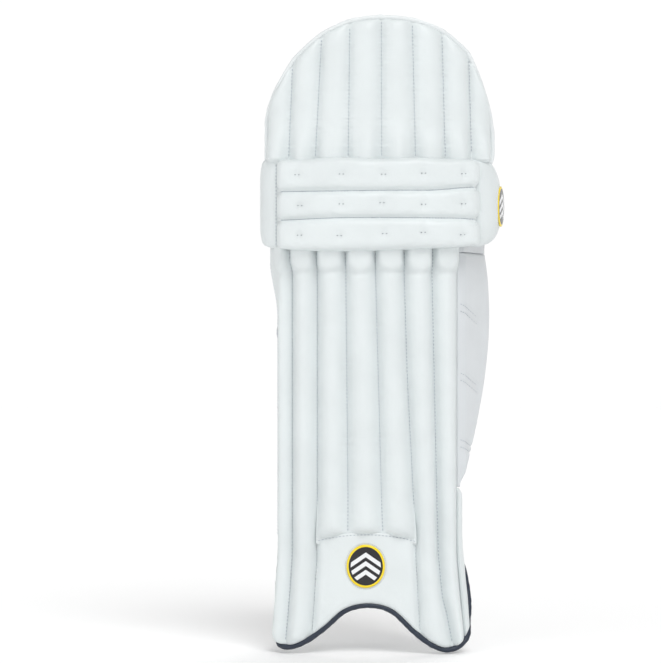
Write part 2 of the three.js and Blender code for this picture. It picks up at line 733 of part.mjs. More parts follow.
const WEB = { low: 0, high: STRAP_THICKNESS };
const HOOK = { low: -1.4, high: -GAP };
const LOOP = { low: -3.2, high: -1.8 };
const SEWN_INSIDE = -SKIN - GAP - STRAP_THICKNESS - 0.6; // line of a strap sewn inside a panel
const LOOP_INSIDE = 0.2; // line whose loop band lies against the inside of a panel
const STRAPS = {
  top: {
    line: strapLine({
      place: knee,
      innerPlace: knee,
      z: 446,
      outerS: [154, 165, 177],
      outerN: SEWN_INSIDE,
      behindLeg: [
        [126, 8],
        [106, 40],
        [64, 62],
        [8, 67],
        [-50, 58],
        [-94, 34],
        [-114, 4],
      ],
      innerS: [-162, -154, -146],
      innerN: LOOP_INSIDE,
    }),
    halfWidth: 17,
    tilt: 0.07,
    hinge: 4,
    end: 39,
  },
  middle: {
    line: strapLine({
      place: wing,
      innerPlace: shin,
      z: 305,
      outerS: [160, 178, 197],
      outerN: SEWN_INSIDE,
      behindLeg: [
        [124, 44],
        [100, 62],
        [55, 71],
        [0, 69],
        [-50, 58],
        [-88, 35],
        [-101, 8],
      ],
      innerS: [-149, -140, -124],
      innerN: LOOP_INSIDE,
    }),
    halfWidth: 26,
    tilt: 0.02,
    hinge: 6,
    end: 39,
  },
  bottom: {
    line: strapLine({
      place: shin,
      innerPlace: shin,
      z: 98,
      outerS: [116, 126, 137],
      outerN: SEWN_INSIDE,
      behindLeg: [
        [100, -10],
        [84, 28],
        [44, 53],
        [0, 59],
        [-45, 50],
        [-82, 28],
        [-98, 4],
      ],
      innerS: [-149, -140, -124],
      innerN: LOOP_INSIDE,
    }),
    halfWidth: 25,
    tilt: -0.03,
    hinge: 4,
    end: 38,
  },
};
for (const [name, { line, halfWidth, tilt, hinge, end }] of Object.entries(STRAPS)) {
  const straight = (half) => () => half;
  const full = { halfWidth: straight(halfWidth), tilt };
  add(`strap_${name}_anchor`, WEBBING, band(line, { ...WEB, ...full, from: 0, to: hinge - 0.22 }));
  add(`strap_${name}_webbing`, WEBBING, band(line, { ...WEB, ...full, from: hinge + 0.22, to: end }));
  add(
    `strap_${name}_hook_tape`,
    HOOK_TAPE,
    band(line, { ...HOOK, from: end - 9, to: end - 1, halfWidth: straight(halfWidth - 4), tilt }),
  );
  add(`strap_${name}_loop_band`, WEBBING, band(line, { ...LOOP, ...full, from: 24, to: STATIONS }));
}

// The moulded tab that is pulled to open the middle strap. Its free end is pointed.
const TAB_SEWN = 26;
const pointed = (share) => (share > 0.75 ? 23 - 19 * ((share - 0.75) / 0.25) : 23);
add(
  "pull_tab",
  TAB,
  band(STRAPS.middle.line, {
    from: TAB_SEWN,
    to: STRAPS.middle.end,
    low: STRAP_THICKNESS + GAP,
    high: STRAP_THICKNESS + GAP + 2,
    halfWidth: pointed,
    tilt: STRAPS.middle.tilt,
  }),
);

export default pad;
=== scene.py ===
"""Looks of the cricket leg pad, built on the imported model.

Lengths are millimetres until a mesh is made. s is a length along the pad's surface from its middle, positive
towards the outer side of the leg, z a height and n a distance in front of the backing."""

import math

import bmesh
import bpy
import numpy as np
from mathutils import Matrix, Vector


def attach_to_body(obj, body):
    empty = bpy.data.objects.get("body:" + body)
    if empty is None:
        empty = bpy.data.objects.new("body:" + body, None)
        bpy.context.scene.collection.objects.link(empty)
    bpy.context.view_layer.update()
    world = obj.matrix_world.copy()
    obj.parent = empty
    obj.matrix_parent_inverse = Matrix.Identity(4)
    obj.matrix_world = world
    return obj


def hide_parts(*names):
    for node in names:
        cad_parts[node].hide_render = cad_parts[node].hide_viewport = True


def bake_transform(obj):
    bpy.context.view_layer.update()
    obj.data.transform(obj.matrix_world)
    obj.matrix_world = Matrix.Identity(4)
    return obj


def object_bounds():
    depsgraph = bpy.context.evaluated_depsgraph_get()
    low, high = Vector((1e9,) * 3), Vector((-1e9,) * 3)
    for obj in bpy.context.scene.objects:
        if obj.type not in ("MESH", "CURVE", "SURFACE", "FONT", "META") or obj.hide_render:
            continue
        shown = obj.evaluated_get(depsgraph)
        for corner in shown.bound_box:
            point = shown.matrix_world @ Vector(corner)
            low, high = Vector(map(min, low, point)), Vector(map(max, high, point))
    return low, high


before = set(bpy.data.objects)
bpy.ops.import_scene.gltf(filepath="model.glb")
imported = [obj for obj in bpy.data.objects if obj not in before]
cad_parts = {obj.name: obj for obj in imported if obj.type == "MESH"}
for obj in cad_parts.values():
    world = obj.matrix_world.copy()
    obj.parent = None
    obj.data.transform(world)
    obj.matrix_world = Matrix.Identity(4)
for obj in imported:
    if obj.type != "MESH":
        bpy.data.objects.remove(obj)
cad_box = [list(corner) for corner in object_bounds()]

# ------------------------------------------------------------------ the pad's surface

FOOT_EDGE = [
    (-150, 18.5), (-126, -16), (-104, -38), (-86, -44.8), (-66, -37.5), (-46, -21.5), (-28, -4.5), (-10, 2),
    (10, 1.4), (26, -6), (46, -27), (62, -40.5), (80, -47.5), (98, -40), (138, 9.3),
]
MIDDLE_RIBS_END = 82
TUCKED, FLAP_TUCKED = 404, 496  # ends of the ribs that pass behind the knee rolls
KNEE_BOTTOM, KNEE_TOP = 399.4, 500.6
ROLL_SEAMS = [432, 464]
FLAP_BOTTOM, FLAP_TOP, FLAP_SHOULDER = 501.4, 665.5, 513
FLAP_MIDDLE, FLAP_HALF = 10, 129
FLAP_SEAMS = [-120.2, -89.4, -58, -23.4, 13, 49.8, 84, 115.6, 144.2]
FLAP_FAN = [0, 5, 6, 1.5, 0, -2.5, -3, -3, 0]  # how far a seam leans over 80 mm of height, before it is eased
FAN_EASE = 0.7
FLAP_PULL = 0.55  # how far the flap's bound edge is pulled straight between two seams
INNER_EDGE, ANKLE_EDGE = -150, 138
FLEX_SLOPE = 0.23  # clearance for each mm behind a hinge, for 12 degrees of flex
SHIN_Y, KNEE_Y = -84, -88  # front of the backing, at the middle of the pad
KNEE_HINGE_Y, FLAP_HINGE_Y = -86, -88


def half_section(length, radius, flat, corner, flank):
    """Point and heading at a length along half of a section: a flat arc, a tight corner, a straight flank."""
    flank = math.radians(flank)
    start = np.minimum(length, flat) / radius
    turned = np.where(length > flat, np.minimum(start + np.maximum(length - flat, 0) / corner, flank), start)
    straight = np.maximum(0, length - flat - corner * (flank - flat / radius))
    x = radius * np.sin(start) + corner * (np.sin(turned) - np.sin(start)) + straight * np.cos(turned)
    y = radius * (1 - np.cos(start)) + corner * (np.cos(start) - np.cos(turned)) + straight * np.sin(turned)
    return x, y, turned


class Zone:
    """A length of the pad with one section. Each side has a flat arc, a corner and a flank in degrees."""

    def __init__(self, radius, inner, outer, base_y, spread=lambda z: 1, lean=lambda s, z: 0):
        self.radius, self.inner, self.outer = radius, inner, outer
        self.base_y, self.spread, self.lean = base_y, spread, lean

    def at(self, s, z, n):
        """Points at length s, height z and n in front of the backing."""
        s, z, n = np.broadcast_arrays(*(np.asarray(v, float) for v in (s, z, n)))
        halves = [half_section(np.abs(s), self.radius, *side) for side in (self.inner, self.outer)]
        x, y, turned = (np.where(s < 0, *pair) for pair in zip(*halves))
        side = np.where(s < 0, -1.0, 1.0)
        px = side * (x * self.spread(z) + n * np.sin(turned)) - self.lean(s, z)
        return np.stack([px, self.base_y(z) + y - n * np.cos(turned), z], -1)

    def outward(self, s, z):
        """The way out from the leg."""
        return self.at(s, z, 1) - self.at(s, z, 0)


def foot_share(z):
    """0 above the instep, 1 at the tips of the foot's lobes."""
    return np.maximum(0, (60 - z) / 104)


shin = Zone(
    260,
    (84, 14, 82),
    (97, 10, 86),
    lambda z: SHIN_Y - 14 * foot_share(z) ** 1.5,
    lambda z: 1 + 0.09 * foot_share(z) ** 1.2,
    lambda s, z: 10 * smooth((z - 325) / 68) * np.clip((-101 - s) / 49, 0, 1) ** 0.8,
)
wing = Zone(260, (84, 14, 82), (97, 10, 68), lambda z: SHIN_Y)
knee = Zone(300, (104, 22, 86), (118, 24, 75), lambda z: KNEE_Y)
flap = Zone(300, (100, 20, 50), (121, 20, 38), lambda z: KNEE_Y + 0.06 * (z - FLAP_BOTTOM))


def behind(place, s, z, hinge_y):
    """How far the backing is behind a hinge's axis."""
    return np.maximum(0, place.at(s, z, -2)[..., 1] - hinge_y)


def knee_floor(s):
    return KNEE_BOTTOM + FLEX_SLOPE * behind(knee, s, KNEE_BOTTOM, KNEE_HINGE_Y)


def knee_ceiling(s):
    return KNEE_TOP - 0.12 * behind(knee, s, KNEE_TOP, FLAP_HINGE_Y)


def flap_floor(s):
    return FLAP_BOTTOM + FLEX_SLOPE * behind(flap, s, FLAP_BOTTOM, FLAP_HINGE_Y)


def edge_z(s):
    """Height of the binding's centre line, a smooth curve: two lobes and a broad arch over the instep."""
    s = np.asarray(s, float)
    at, height = (np.array(column, float) for column in zip(*FOOT_EDGE))
    ends = np.arange(len(at))
    before, after = np.maximum(ends - 1, 0), np.minimum(ends + 1, len(at) - 1)
    slope = (height[after] - height[before]) / (at[after] - at[before])
    k = np.clip(np.searchsorted(at, s) - 1, 0, len(at) - 2)
    gap = at[k + 1] - at[k]
    t = (s - at[k]) / gap
    ease = t * t * (3 - 2 * t)
    bend = gap * t * (1 - t) * (slope[k] * (1 - t) - slope[k + 1] * t)
    return height[k] + (height[k + 1] - height[k]) * ease + bend


def foot_edge(s, clearance=1.6):
    """Lowest height of the covers, just above the binding."""
    slope = edge_z(s + 0.5) - edge_z(s - 0.5)
    return edge_z(s) + clearance * np.hypot(1, slope)


def flap_top(s):
    """The flap's outline: a half circle on the inner side, squarer on the outer."""
    x = flap.at(s, FLAP_SHOULDER, 0)[..., 0]
    power = np.where(x < FLAP_MIDDLE, 2, 2.5)
    share = np.minimum(1, np.abs(x - FLAP_MIDDLE) / FLAP_HALF)
    height = FLAP_SHOULDER + (FLAP_TOP - FLAP_SHOULDER - 5) * (1 - share**power) ** (1 / power)
    return np.maximum(height, flap_floor(s) + 14)


def flap_outline(s):
    """The bound edge, pulled towards straight lines between the seams that reach it."""
    seams = [x + FAN_EASE * fan for x, fan in zip(FLAP_SEAMS, FLAP_FAN)]
    corners = np.array([-123.0, *seams[1:-1], 147.0])
    chord = np.interp(s, corners, flap_top(corners))
    return flap_top(s) * (1 - FLAP_PULL) + chord * FLAP_PULL


# ------------------------------------------------------------------ numbers that look hand made


def waves(seed, u, v, size, octaves=5):
    """Smooth seeded noise about 0, with features of the given size."""
    rng = np.random.default_rng(seed)
    u, v = np.broadcast_arrays(np.asarray(u, float), np.asarray(v, float))
    total = np.zeros(u.shape)
    for _ in range(octaves):
        angle, phase, scale = rng.uniform(0, math.tau), rng.uniform(0, math.tau), rng.uniform(0.6, 1.5)
        k = math.tau / (size * scale)
        total += np.sin(k * (u * math.cos(angle) + v * math.sin(angle)) + phase)
    return total / octaves


def along_noise(seed, t, size):
    """Seeded noise along one line."""
    rng = np.random.default_rng(seed)
    total = 0
    for _ in range(5):
        total = total + np.sin(math.tau * t / (size * rng.uniform(0.6, 1.7)) + rng.uniform(0, math.tau))
    return total / 3


def smooth(t):
    """An eased step from 0 to 1."""
    t = np.clip(t, 0, 1)
    return t * t * (3 - 2 * t)


def quarter_round(t):
    """Height of a rounded edge at share t of the way in from it."""
    return np.sqrt(np.clip(1 - (1 - np.clip(t, 0, 1)) ** 2, 0, 1))


def over_knee(piece):
    """The piece passes under the knee rolls. Its transform is baked into its mesh."""
    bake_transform(piece)


def over_flap(piece):
    """The piece is sewn in behind the upper roll. Its transform is baked into its mesh."""
    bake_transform(piece)


# ------------------------------------------------------------------ mesh building


def make(name, points, faces, uv=None):
    """A smooth mesh object from points in millimetres. uv holds a UV pair for each point."""
    mesh = bpy.data.meshes.new(name)
    points = np.asarray(points, float).reshape(-1, 3) * 0.001
    mesh.from_pydata(points.tolist(), [], faces)
    mesh.validate()
    if uv is not None:
        layer = mesh.uv_layers.new(name="UVMap")
        corners = np.empty(len(mesh.loops), np.int32)
        mesh.loops.foreach_get("vertex_index", corners)
        layer.data.foreach_set("uv", np.asarray(uv, np.float32).reshape(-1, 2)[corners].ravel())
    mesh.polygons.foreach_set("use_smooth", [True] * len(mesh.polygons))
    obj = bpy.data.objects.new(name, mesh)
    bpy.context.scene.collection.objects.link(obj)
    fix_normals(obj)
    return obj


def fix_normals(obj, merge=False):
    """Turns every face outwards, after points in one place are merged where merge is set."""
    bm = bmesh.new()
    bm.from_mesh(obj.data)
    if merge:
        bmesh.ops.remove_doubles(bm, verts=bm.verts, dist=1e-6)
    bmesh.ops.recalc_face_normals(bm, faces=bm.faces)
    bm.to_mesh(obj.data)
    bm.free()


def unit(vectors):
    return vectors / np.maximum(np.linalg.norm(vectors, axis=-1, keepdims=True), 1e-9)


def run_of(points):
    """Length along a line of points, at each of them."""
    return np.concatenate([[0], np.cumsum(np.linalg.norm(np.diff(points, axis=0), axis=1))])


def softened(path, rounds):
    """A path with its corners rounded off. Its ends stay."""
    for _ in range(rounds):
        path[1:-1] = (path[:-2] + path[1:-1] * 2 + path[2:]) / 4
    return path


def panel(columns, rows, low, high):
    """A grid of s and z whose columns run from height low to height high."""
    z = low + (high - low) * np.linspace(0, 1, rows)[:, None]
    return np.broadcast_to(columns, z.shape), z


def grid_faces(rows, columns, offset=0, flip=False):
    """Faces over rows of points, the first of which has the number offset."""
    j, i = np.meshgrid(np.arange(rows - 1), np.arange(columns - 1), indexing="ij")
    a = (offset + j * columns + i).ravel()
    quads = np.stack([a, a + 1, a + columns + 1, a + columns], -1)
    return (quads[:, ::-1] if flip else quads).tolist()


def ring_faces(rings, around):
    """Faces round a row of rings of points."""
    j, k = np.meshgrid(np.arange(rings - 1), np.arange(around), indexing="ij")
    a, b = j * around + k, j * around + (k + 1) % around
    return np.stack([a, b, b + around, a + around], -1).reshape(-1, 4).tolist()


def ring_ends(rings, around):
    """The two faces that close a row of rings."""
    return [list(range(around))[::-1], list(range((rings - 1) * around, rings * around))]


def closed_sheet(name, front, back, u, v):
    """A closed sheet between two grids of points. u and v, in mm, are the UV map of both faces."""
    u, v = np.broadcast_arrays(u, v)
    rows, columns = u.shape
    half = rows * columns
    faces = grid_faces(rows, columns) + grid_faces(rows, columns, half, True)
    rim = [j * columns for j in range(rows)]
    rim += [(rows - 1) * columns + i for i in range(1, columns)]
    rim += [j * columns + columns - 1 for j in range(rows - 2, -1, -1)]
    rim += list(range(columns - 2, 0, -1))
    faces += [[a, b, b + half, a + half] for a, b in zip(rim, rim[1:] + rim[:1])]
    uv = np.stack([u, v], -1).reshape(-1, 2) * 0.001
    points = np.concatenate([front.reshape(-1, 3), back.reshape(-1, 3)])
    return make(name, points, faces, np.concatenate([uv, uv]))


def slab(name, place, s, z, front, back):
    """A closed sheet between two offsets, over a grid of s and z with rows of z."""
    s, z, front, back = np.broadcast_arrays(*(np.asarray(v, float) for v in (s, z, front, back)))
    return closed_sheet(name, place.at(s, z, front), place.at(s, z, back), s, z)


def tube(name, points, radius, sides=10, flatten=1.0, normals=None):
    """A round or flattened tube along points, with closed ends."""
    points = np.asarray(points, float)
    radius = np.broadcast_to(np.asarray(radius, float), len(points))
    tangent = unit(np.gradient(points, axis=0))
    if normals is None:
        normals = np.broadcast_to(np.array([0.3, -1, 0.1]), points.shape)
    side = unit(np.cross(tangent, normals))
    up = np.cross(side, tangent)
    angle = np.arange(sides) * math.tau / sides
    ring = np.cos(angle)[:, None] * side[:, None] + flatten * np.sin(angle)[:, None] * up[:, None]
    points = points[:, None] + ring * radius[:, None, None]
    return make(name, points, ring_faces(len(points), sides) + ring_ends(len(points), sides))


def subdivide(obj):
    modifier = obj.modifiers.new("smooth", "SUBSURF")
    modifier.levels = modifier.render_levels = 1
    apply_modifiers(obj)


def apply_modifiers(obj):
    depsgraph = bpy.context.evaluated_depsgraph_get()
    mesh = bpy.data.meshes.new_from_object(obj.evaluated_get(depsgraph))
    obj.modifiers.clear()
    obj.data = mesh
    mesh.polygons.foreach_set("use_smooth", [True] * len(mesh.polygons))


def coordinates(obj):
    co = np.empty(len(obj.data.vertices) * 3, np.float32)
    obj.data.vertices.foreach_get("co", co)
    return co.reshape(-1, 3).astype(float) * 1000


def set_coordinates(obj, co):
    obj.data.vertices.foreach_set("co", (np.asarray(co) * 0.001).astype(np.float32).ravel())
    obj.data.update()


def inflate(obj, held, pressure, cap, voxel=None, shrink=0.0):
    """Blows a closed piece up as cloth. held gives the pin weights. Nothing moves further than cap."""
    frames = 18
    if voxel:
        modifier = obj.modifiers.new("remesh", "REMESH")
        modifier.mode = "VOXEL"
        modifier.voxel_size = voxel * 0.001
        apply_modifiers(obj)
    rest = coordinates(obj)
    group = obj.vertex_groups.new(name="held")
    weights = np.clip(held(rest) if callable(held) else held, 0, 1)
    for level in np.unique(np.round(weights, 1)):
        if level > 0:
            members = np.nonzero(np.round(weights, 1) == level)[0].tolist()
            group.add(members, float(level), "REPLACE")
    cloth = obj.modifiers.new("cloth", "CLOTH")
    settings = cloth.settings
    settings.quality = 6
    settings.mass = 0.25
    settings.tension_stiffness = settings.compression_stiffness = 14
    settings.shear_stiffness = 6
    settings.bending_stiffness = 0.4
    settings.air_damping = 3
    settings.use_pressure = True
    settings.uniform_pressure_force = pressure
    settings.shrink_min = settings.shrink_max = shrink
    settings.vertex_group_mass = "held"
    settings.effector_weights.gravity = 0
    cloth.collision_settings.use_collision = False
    cloth.point_cache.frame_start, cloth.point_cache.frame_end = 1, frames
    for f in range(1, frames + 1):
        bpy.context.scene.frame_set(f)
    depsgraph = bpy.context.evaluated_depsgraph_get()
    evaluated = obj.evaluated_get(depsgraph)
    moved = np.empty(len(rest) * 3, np.float32)
    evaluated.data.vertices.foreach_get("co", moved)
    step = moved.reshape(-1, 3).astype(float) * 1000 - rest
    step *= np.minimum(1, cap / np.maximum(np.linalg.norm(step, axis=1, keepdims=True), 1e-9))
    obj.modifiers.clear()
    obj.vertex_groups.clear()
    set_coordinates(obj, rest + step)
    bpy.context.scene.frame_set(1)


# ------------------------------------------------------------------ stitching

thread = {}


def stitch(body, points, normals, pitch=4.0, length=2.6, radius=0.4, lift=0.1, kind="stitching"):
    """A row of stitches along a line on a surface. They gather into one piece for each body."""
    points, normals = np.asarray(points, float), np.asarray(normals, float)
    run = run_of(points)
    centres = np.arange(pitch / 2, run[-1], pitch)
    if not len(centres):
        return
    shares = np.array([-0.5, -0.34, 0, 0.34, 0.5]) * length
    heights = np.array([-0.8, 0.3, 0.75, 0.3, -0.8]) * radius + lift
    widths = np.array([0.35, 0.9, 1, 0.9, 0.35]) * radius
    at = centres[:, None] + shares[None, :]
    line = np.stack([np.interp(at, run, points[:, k]) for k in range(3)], -1)
    up = unit(np.stack([np.interp(at, run, normals[:, k]) for k in range(3)], -1))
    along = unit(line[:, -1] - line[:, 0])
    across = unit(np.cross(along[:, None], up))
    angle = np.arange(5) * math.tau / 5
    rise = (heights[:, None] + widths[:, None] * np.sin(angle))[..., None]
    spread = (widths[:, None] * np.cos(angle))[..., None]
    rings = line[:, :, None] + up[:, :, None] * rise + across[:, :, None] * spread
    one_stitch = ring_faces(5, 5) + ring_ends(5, 5)
    parts, faces = thread.setdefault((body, kind), ([], []))
    for one in rings:
        first = 25 * len(parts)
        parts.append(one.reshape(-1, 3))
        faces.extend([[first + corner for corner in face] for face in one_stitch])


def stitch_on(body, place, s, z, n, **options):
    """A row of stitches at offset n of a zone."""
    stitch(body, place.at(s, z, n), place.outward(s, z), **options)


# ------------------------------------------------------------------ materials


class Value:
    """A shader number that sums and compares with Python's operators."""

    def __init__(self, tree, socket):
        self.tree, self.socket = tree, socket

    def math(self, operation, *others):
        node = self.tree.nodes.new("ShaderNodeMath")
        node.operation = operation
        for i, other in enumerate((self, *others)):
            if isinstance(other, Value):
                self.tree.links.new(other.socket, node.inputs[i])
            else:
                node.inputs[i].default_value = other
        return Value(self.tree, node.outputs[0])

    def __add__(self, other):
        return self.math("ADD", other)

    def __sub__(self, other):
        return self.math("SUBTRACT", other)

    def __mul__(self, other):
        return self.math("MULTIPLY", other)

    def __truediv__(self, other):
        return self.math("DIVIDE", other)

    def __lt__(self, other):
        return self.math("LESS_THAN", other)

    def __gt__(self, other):
        return self.math("GREATER_THAN", other)

    def abs(self):
        return self.math("ABSOLUTE")

    def floor(self):
        return self.math("FLOOR")

    def fraction(self):
        return self.math("FRACT")

    def least(self, other):
        return self.math("MINIMUM", other)

    def most(self, other):
        return self.math("MAXIMUM", other)

    def step(self, low, high):
        """0 below low, 1 above high and smooth between."""
        node = self.tree.nodes.new("ShaderNodeMapRange")
        node.interpolation_type = "SMOOTHSTEP"
        self.tree.links.new(self.socket, node.inputs["Value"])
        node.inputs["From Min"].default_value, node.inputs["From Max"].default_value = low, high
        return Value(self.tree, node.outputs["Result"])


class Finish:
    """A material under construction around one Principled shader."""

    def __init__(self, name, **constants):
        self.material = bpy.data.materials.new(name)
        self.material.use_nodes = True
        self.tree = self.material.node_tree
        self.shader = self.tree.nodes["Principled BSDF"]
        for key, value in constants.items():
            self.shader.inputs[key.replace("_", " ")].default_value = value
        self.places = {}

    def place(self, kind="Object"):
        """x, y, z in millimetres, from the mesh or from its UV map."""
        if kind not in self.places:
            node = self.tree.nodes.new("ShaderNodeTexCoord")
            split = self.tree.nodes.new("ShaderNodeSeparateXYZ")
            self.tree.links.new(node.outputs[kind], split.inputs[0])
            self.places[kind] = [Value(self.tree, split.outputs[i]) * 1000.0 for i in range(3)]
        return self.places[kind]

    def vector(self, x, y, z):
        node = self.tree.nodes.new("ShaderNodeCombineXYZ")
        for i, value in enumerate((x, y, z)):
            if isinstance(value, Value):
                self.tree.links.new(value.socket, node.inputs[i])
            else:
                node.inputs[i].default_value = value
        return node.outputs[0]

    def noise(self, size, detail=2.0, at=None):
        node = self.tree.nodes.new("ShaderNodeTexNoise")
        self.tree.links.new(at or self.vector(*self.place()), node.inputs["Vector"])
        node.inputs["Scale"].default_value = 1 / size
        node.inputs["Detail"].default_value = detail
        return Value(self.tree, node.outputs["Fac"])

    def cells(self, size, feature="F1", randomness=1.0, at=None, flat=False):
        node = self.tree.nodes.new("ShaderNodeTexVoronoi")
        node.feature = feature
        if flat:
            node.voronoi_dimensions = "2D"
        self.tree.links.new(at or self.vector(*self.place()), node.inputs["Vector"])
        node.inputs["Scale"].default_value = 1 / size
        node.inputs["Randomness"].default_value = randomness
        return Value(self.tree, node.outputs["Distance"])

    def mix(self, share, first, second):
        """A colour between two others. Each is a colour or what mix() returned."""
        node = self.tree.nodes.new("ShaderNodeMix")
        node.data_type = "RGBA"
        self.tree.links.new(share.socket, node.inputs[0])
        for socket, colour in ((node.inputs[6], first), (node.inputs[7], second)):
            if isinstance(colour, bpy.types.NodeSocket):
                self.tree.links.new(colour, socket)
            else:
                socket.default_value = (*colour, 1)
        return node.outputs[2]

    def colour(self, socket):
        self.tree.links.new(socket, self.shader.inputs["Base Color"])

    def roughness(self, value):
        self.tree.links.new(value.socket, self.shader.inputs["Roughness"])

    def bump(self, *heights):
        """Each height is a value in millimetres, of a pattern that is 1 mm deep times its factor."""
        total = heights[0]
        for height in heights[1:]:
            total = total + height
        node = self.tree.nodes.new("ShaderNodeBump")
        node.inputs["Strength"].default_value = 1
        node.inputs["Distance"].default_value = 0.001
        self.tree.links.new(total.socket, node.inputs["Height"])
        self.tree.links.new(node.outputs[0], self.shader.inputs["Normal"])


WHITE = (0.72, 0.765, 0.77)
PRINT_WHITE = (0.80, 0.81, 0.82)
NEON = (0.70, 0.97, 0.13)
YELLOW = (0.90, 0.67, 0.015)


def white_leather(name, tint=WHITE, grain=1.0, wear=True):
    f = Finish(name, Coat_Weight=0.08, Coat_Roughness=0.35)
    broad = f.noise(45, 3)
    shade = tuple(c * 0.965 for c in tint)
    colour = f.mix(broad.step(0.35, 0.7), tint, shade)
    if wear:
        specks = f.noise(7, 4).step(0.72, 0.86)
        colour = f.mix(specks * 0.25, colour, (0.66, 0.68, 0.68))
    f.colour(colour)
    f.roughness(f.noise(9, 3) * 0.16 + 0.36)
    pebble = f.cells(1.15, "SMOOTH_F1")
    creases = f.cells(2.6, "DISTANCE_TO_EDGE").step(0.0, 0.16)
    pores = f.noise(0.5, 2)
    f.bump(pebble * (0.05 * grain), creases * (0.035 * grain), pores * (0.02 * grain), f.noise(14, 2) * 0.5)
    return f.material


HEXAGON_Z = 474.0


def printed_lining(name, stripes, motif=None):
    """Glossy navy with a fine dark print: basketwork above the V of the first two stripes, a net below it.

    A stripe has a colour, two points (x, z), a width and the box (left, right, bottom, top) it stays in."""
    f = Finish(name, Coat_Weight=0.18, Coat_Roughness=0.12)
    f.shader.inputs["Specular IOR Level"].default_value = 0.4
    x, _, z = f.place()
    u, v = (x + z) * 0.7071, (x - z) * 0.7071
    block, line = 18.9, 2.7
    cell_u, cell_v = (u / block).fraction(), (v / block).fraction()
    odd = (((u / block).floor() + (v / block).floor()) * 0.5).fraction() > 0.25
    across = ((u / line).fraction() - 0.5).abs() < 0.2
    along = ((v / line).fraction() - 0.5).abs() < 0.2
    inside = (cell_u > 0.10) * (cell_u < 0.90) * (cell_v > 0.10) * (cell_v < 0.90)
    basket = (across * odd + along * (odd * -1.0 + 1.0)) * inside
    net = f.cells(12, "DISTANCE_TO_EDGE", 0.62, f.vector(x, z, 0.0), True) < 0.048
    masks, sides = [], []
    for _, (x0, z0), (x1, z1), width, (left, right, bottom, top) in stripes:
        length = math.hypot(x1 - x0, z1 - z0)
        nx, nz = -(z1 - z0) / length, (x1 - x0) / length
        distance = (x * nx + z * nz) - (x0 * nx + z0 * nz)
        sides.append(distance > 0)
        masks.append((distance.abs() < width / 2) * (x > left) * (x < right) * (z > bottom) * (z < top))
    above = sides[0] * sides[1] if len(sides) > 1 else sides[0]
    ink = basket * above + net * (above * -1.0 + 1.0)
    tint = f.mix(f.noise(30, 3), (0.026, 0.031, 0.058), (0.038, 0.043, 0.074))
    colour = f.mix(ink, tint, (0.002, 0.0025, 0.005))
    for mask, (stripe_colour, *_) in zip(masks, stripes):
        colour = f.mix(mask, colour, stripe_colour)
    if motif == "blocks":
        dx = ((x - 1.0).abs() - 7.0).most(0.0)
        dz = (((z / 15.5).fraction() - 0.5).abs() * 15.5 - 1.6).most(0.0)
        block = ((dx * dx + dz * dz) < 9.0) * (z > 124.0) * (z < 356.5)
        colour = f.mix(block, colour, (0.74, 0.76, 0.80))
    if motif == "hexagon":
        hx, hz = x.abs(), (z - HEXAGON_Z).abs()
        reach = (hx * 0.866 + hz * 0.5).most(hz)
        outline = (reach > 16.6) * (reach < 19.0) + (reach < 6.0) * (reach > 3.6)
        colour = f.mix(outline, colour, (0.78, 0.79, 0.80))
    f.colour(colour)
    f.roughness(f.noise(12, 3) * 0.12 + 0.26)
    f.bump(ink * -0.12, f.cells(1.0, "SMOOTH_F1") * 0.03, f.noise(22, 2) * 0.8)
    return f.material


def mesh_fabric():
    """Spacer mesh: white loops round staggered dark holes."""
    f = Finish("spacer_mesh", Sheen_Weight=0.25, Sheen_Roughness=0.5)
    x, _, z = f.place()
    row = (z / 2.0).floor()
    shift = (row * 0.5).fraction()
    a = ((x / 2.7) + shift).fraction() - 0.5
    b = (z / 2.0).fraction() - 0.5
    slant = a + b * 0.3
    hole = (slant * slant * 9.5 + b * b * 4.2).step(0.62, 0.95)
    colour = f.mix(hole, (0.030, 0.032, 0.085), (0.70, 0.71, 0.80))
    f.colour(f.mix(f.noise(20, 2).step(0.3, 0.8) * 0.35, colour, (0.52, 0.53, 0.66)))
    f.roughness(hole * 0.15 + 0.72)
    f.bump(hole * 0.55, f.noise(0.4, 2) * 0.12)
    return f.material


def strap_fabric(half_width, plain=False):
    """Woven strap. The UV map's v runs across it from its lower edge, u along it."""
    f = Finish(f"strap_{'plain' if plain else 'striped'}_{half_width}", Sheen_Weight=0.2, Sheen_Roughness=0.4)
    u, v, _ = f.place("UV")
    share = v / (2.0 * half_width)
    white = (0.77, 0.77, 0.80)
    colour = f.mix(f.noise(12, 3), white, (0.71, 0.71, 0.75))
    if not plain:
        for low, high, paint in (
            (0.27, 0.61, (0.014, 0.014, 0.050)),
            (0.645, 0.72, YELLOW),
            (0.73, 0.82, (0.70, 0.97, 0.20)),
        ):
            colour = f.mix((share > low) * (share < high), colour, paint)
        streak = ((u + v * 0.8) / 5.2).fraction().step(0.35, 0.5) * (share > 0.27) * (share < 0.61)
        colour = f.mix(streak * 0.22, colour, (0.07, 0.07, 0.17))
    f.colour(colour)
    twill = ((u + v) / 0.9).fraction() - 0.5
    weft = ((v - u * 0.5) / 0.7).fraction() - 0.5
    f.roughness(f.noise(6, 2) * 0.15 + 0.62)
    f.bump(twill.abs() * 0.22, weft.abs() * 0.14, f.noise(0.5, 2) * 0.08)
    return f.material


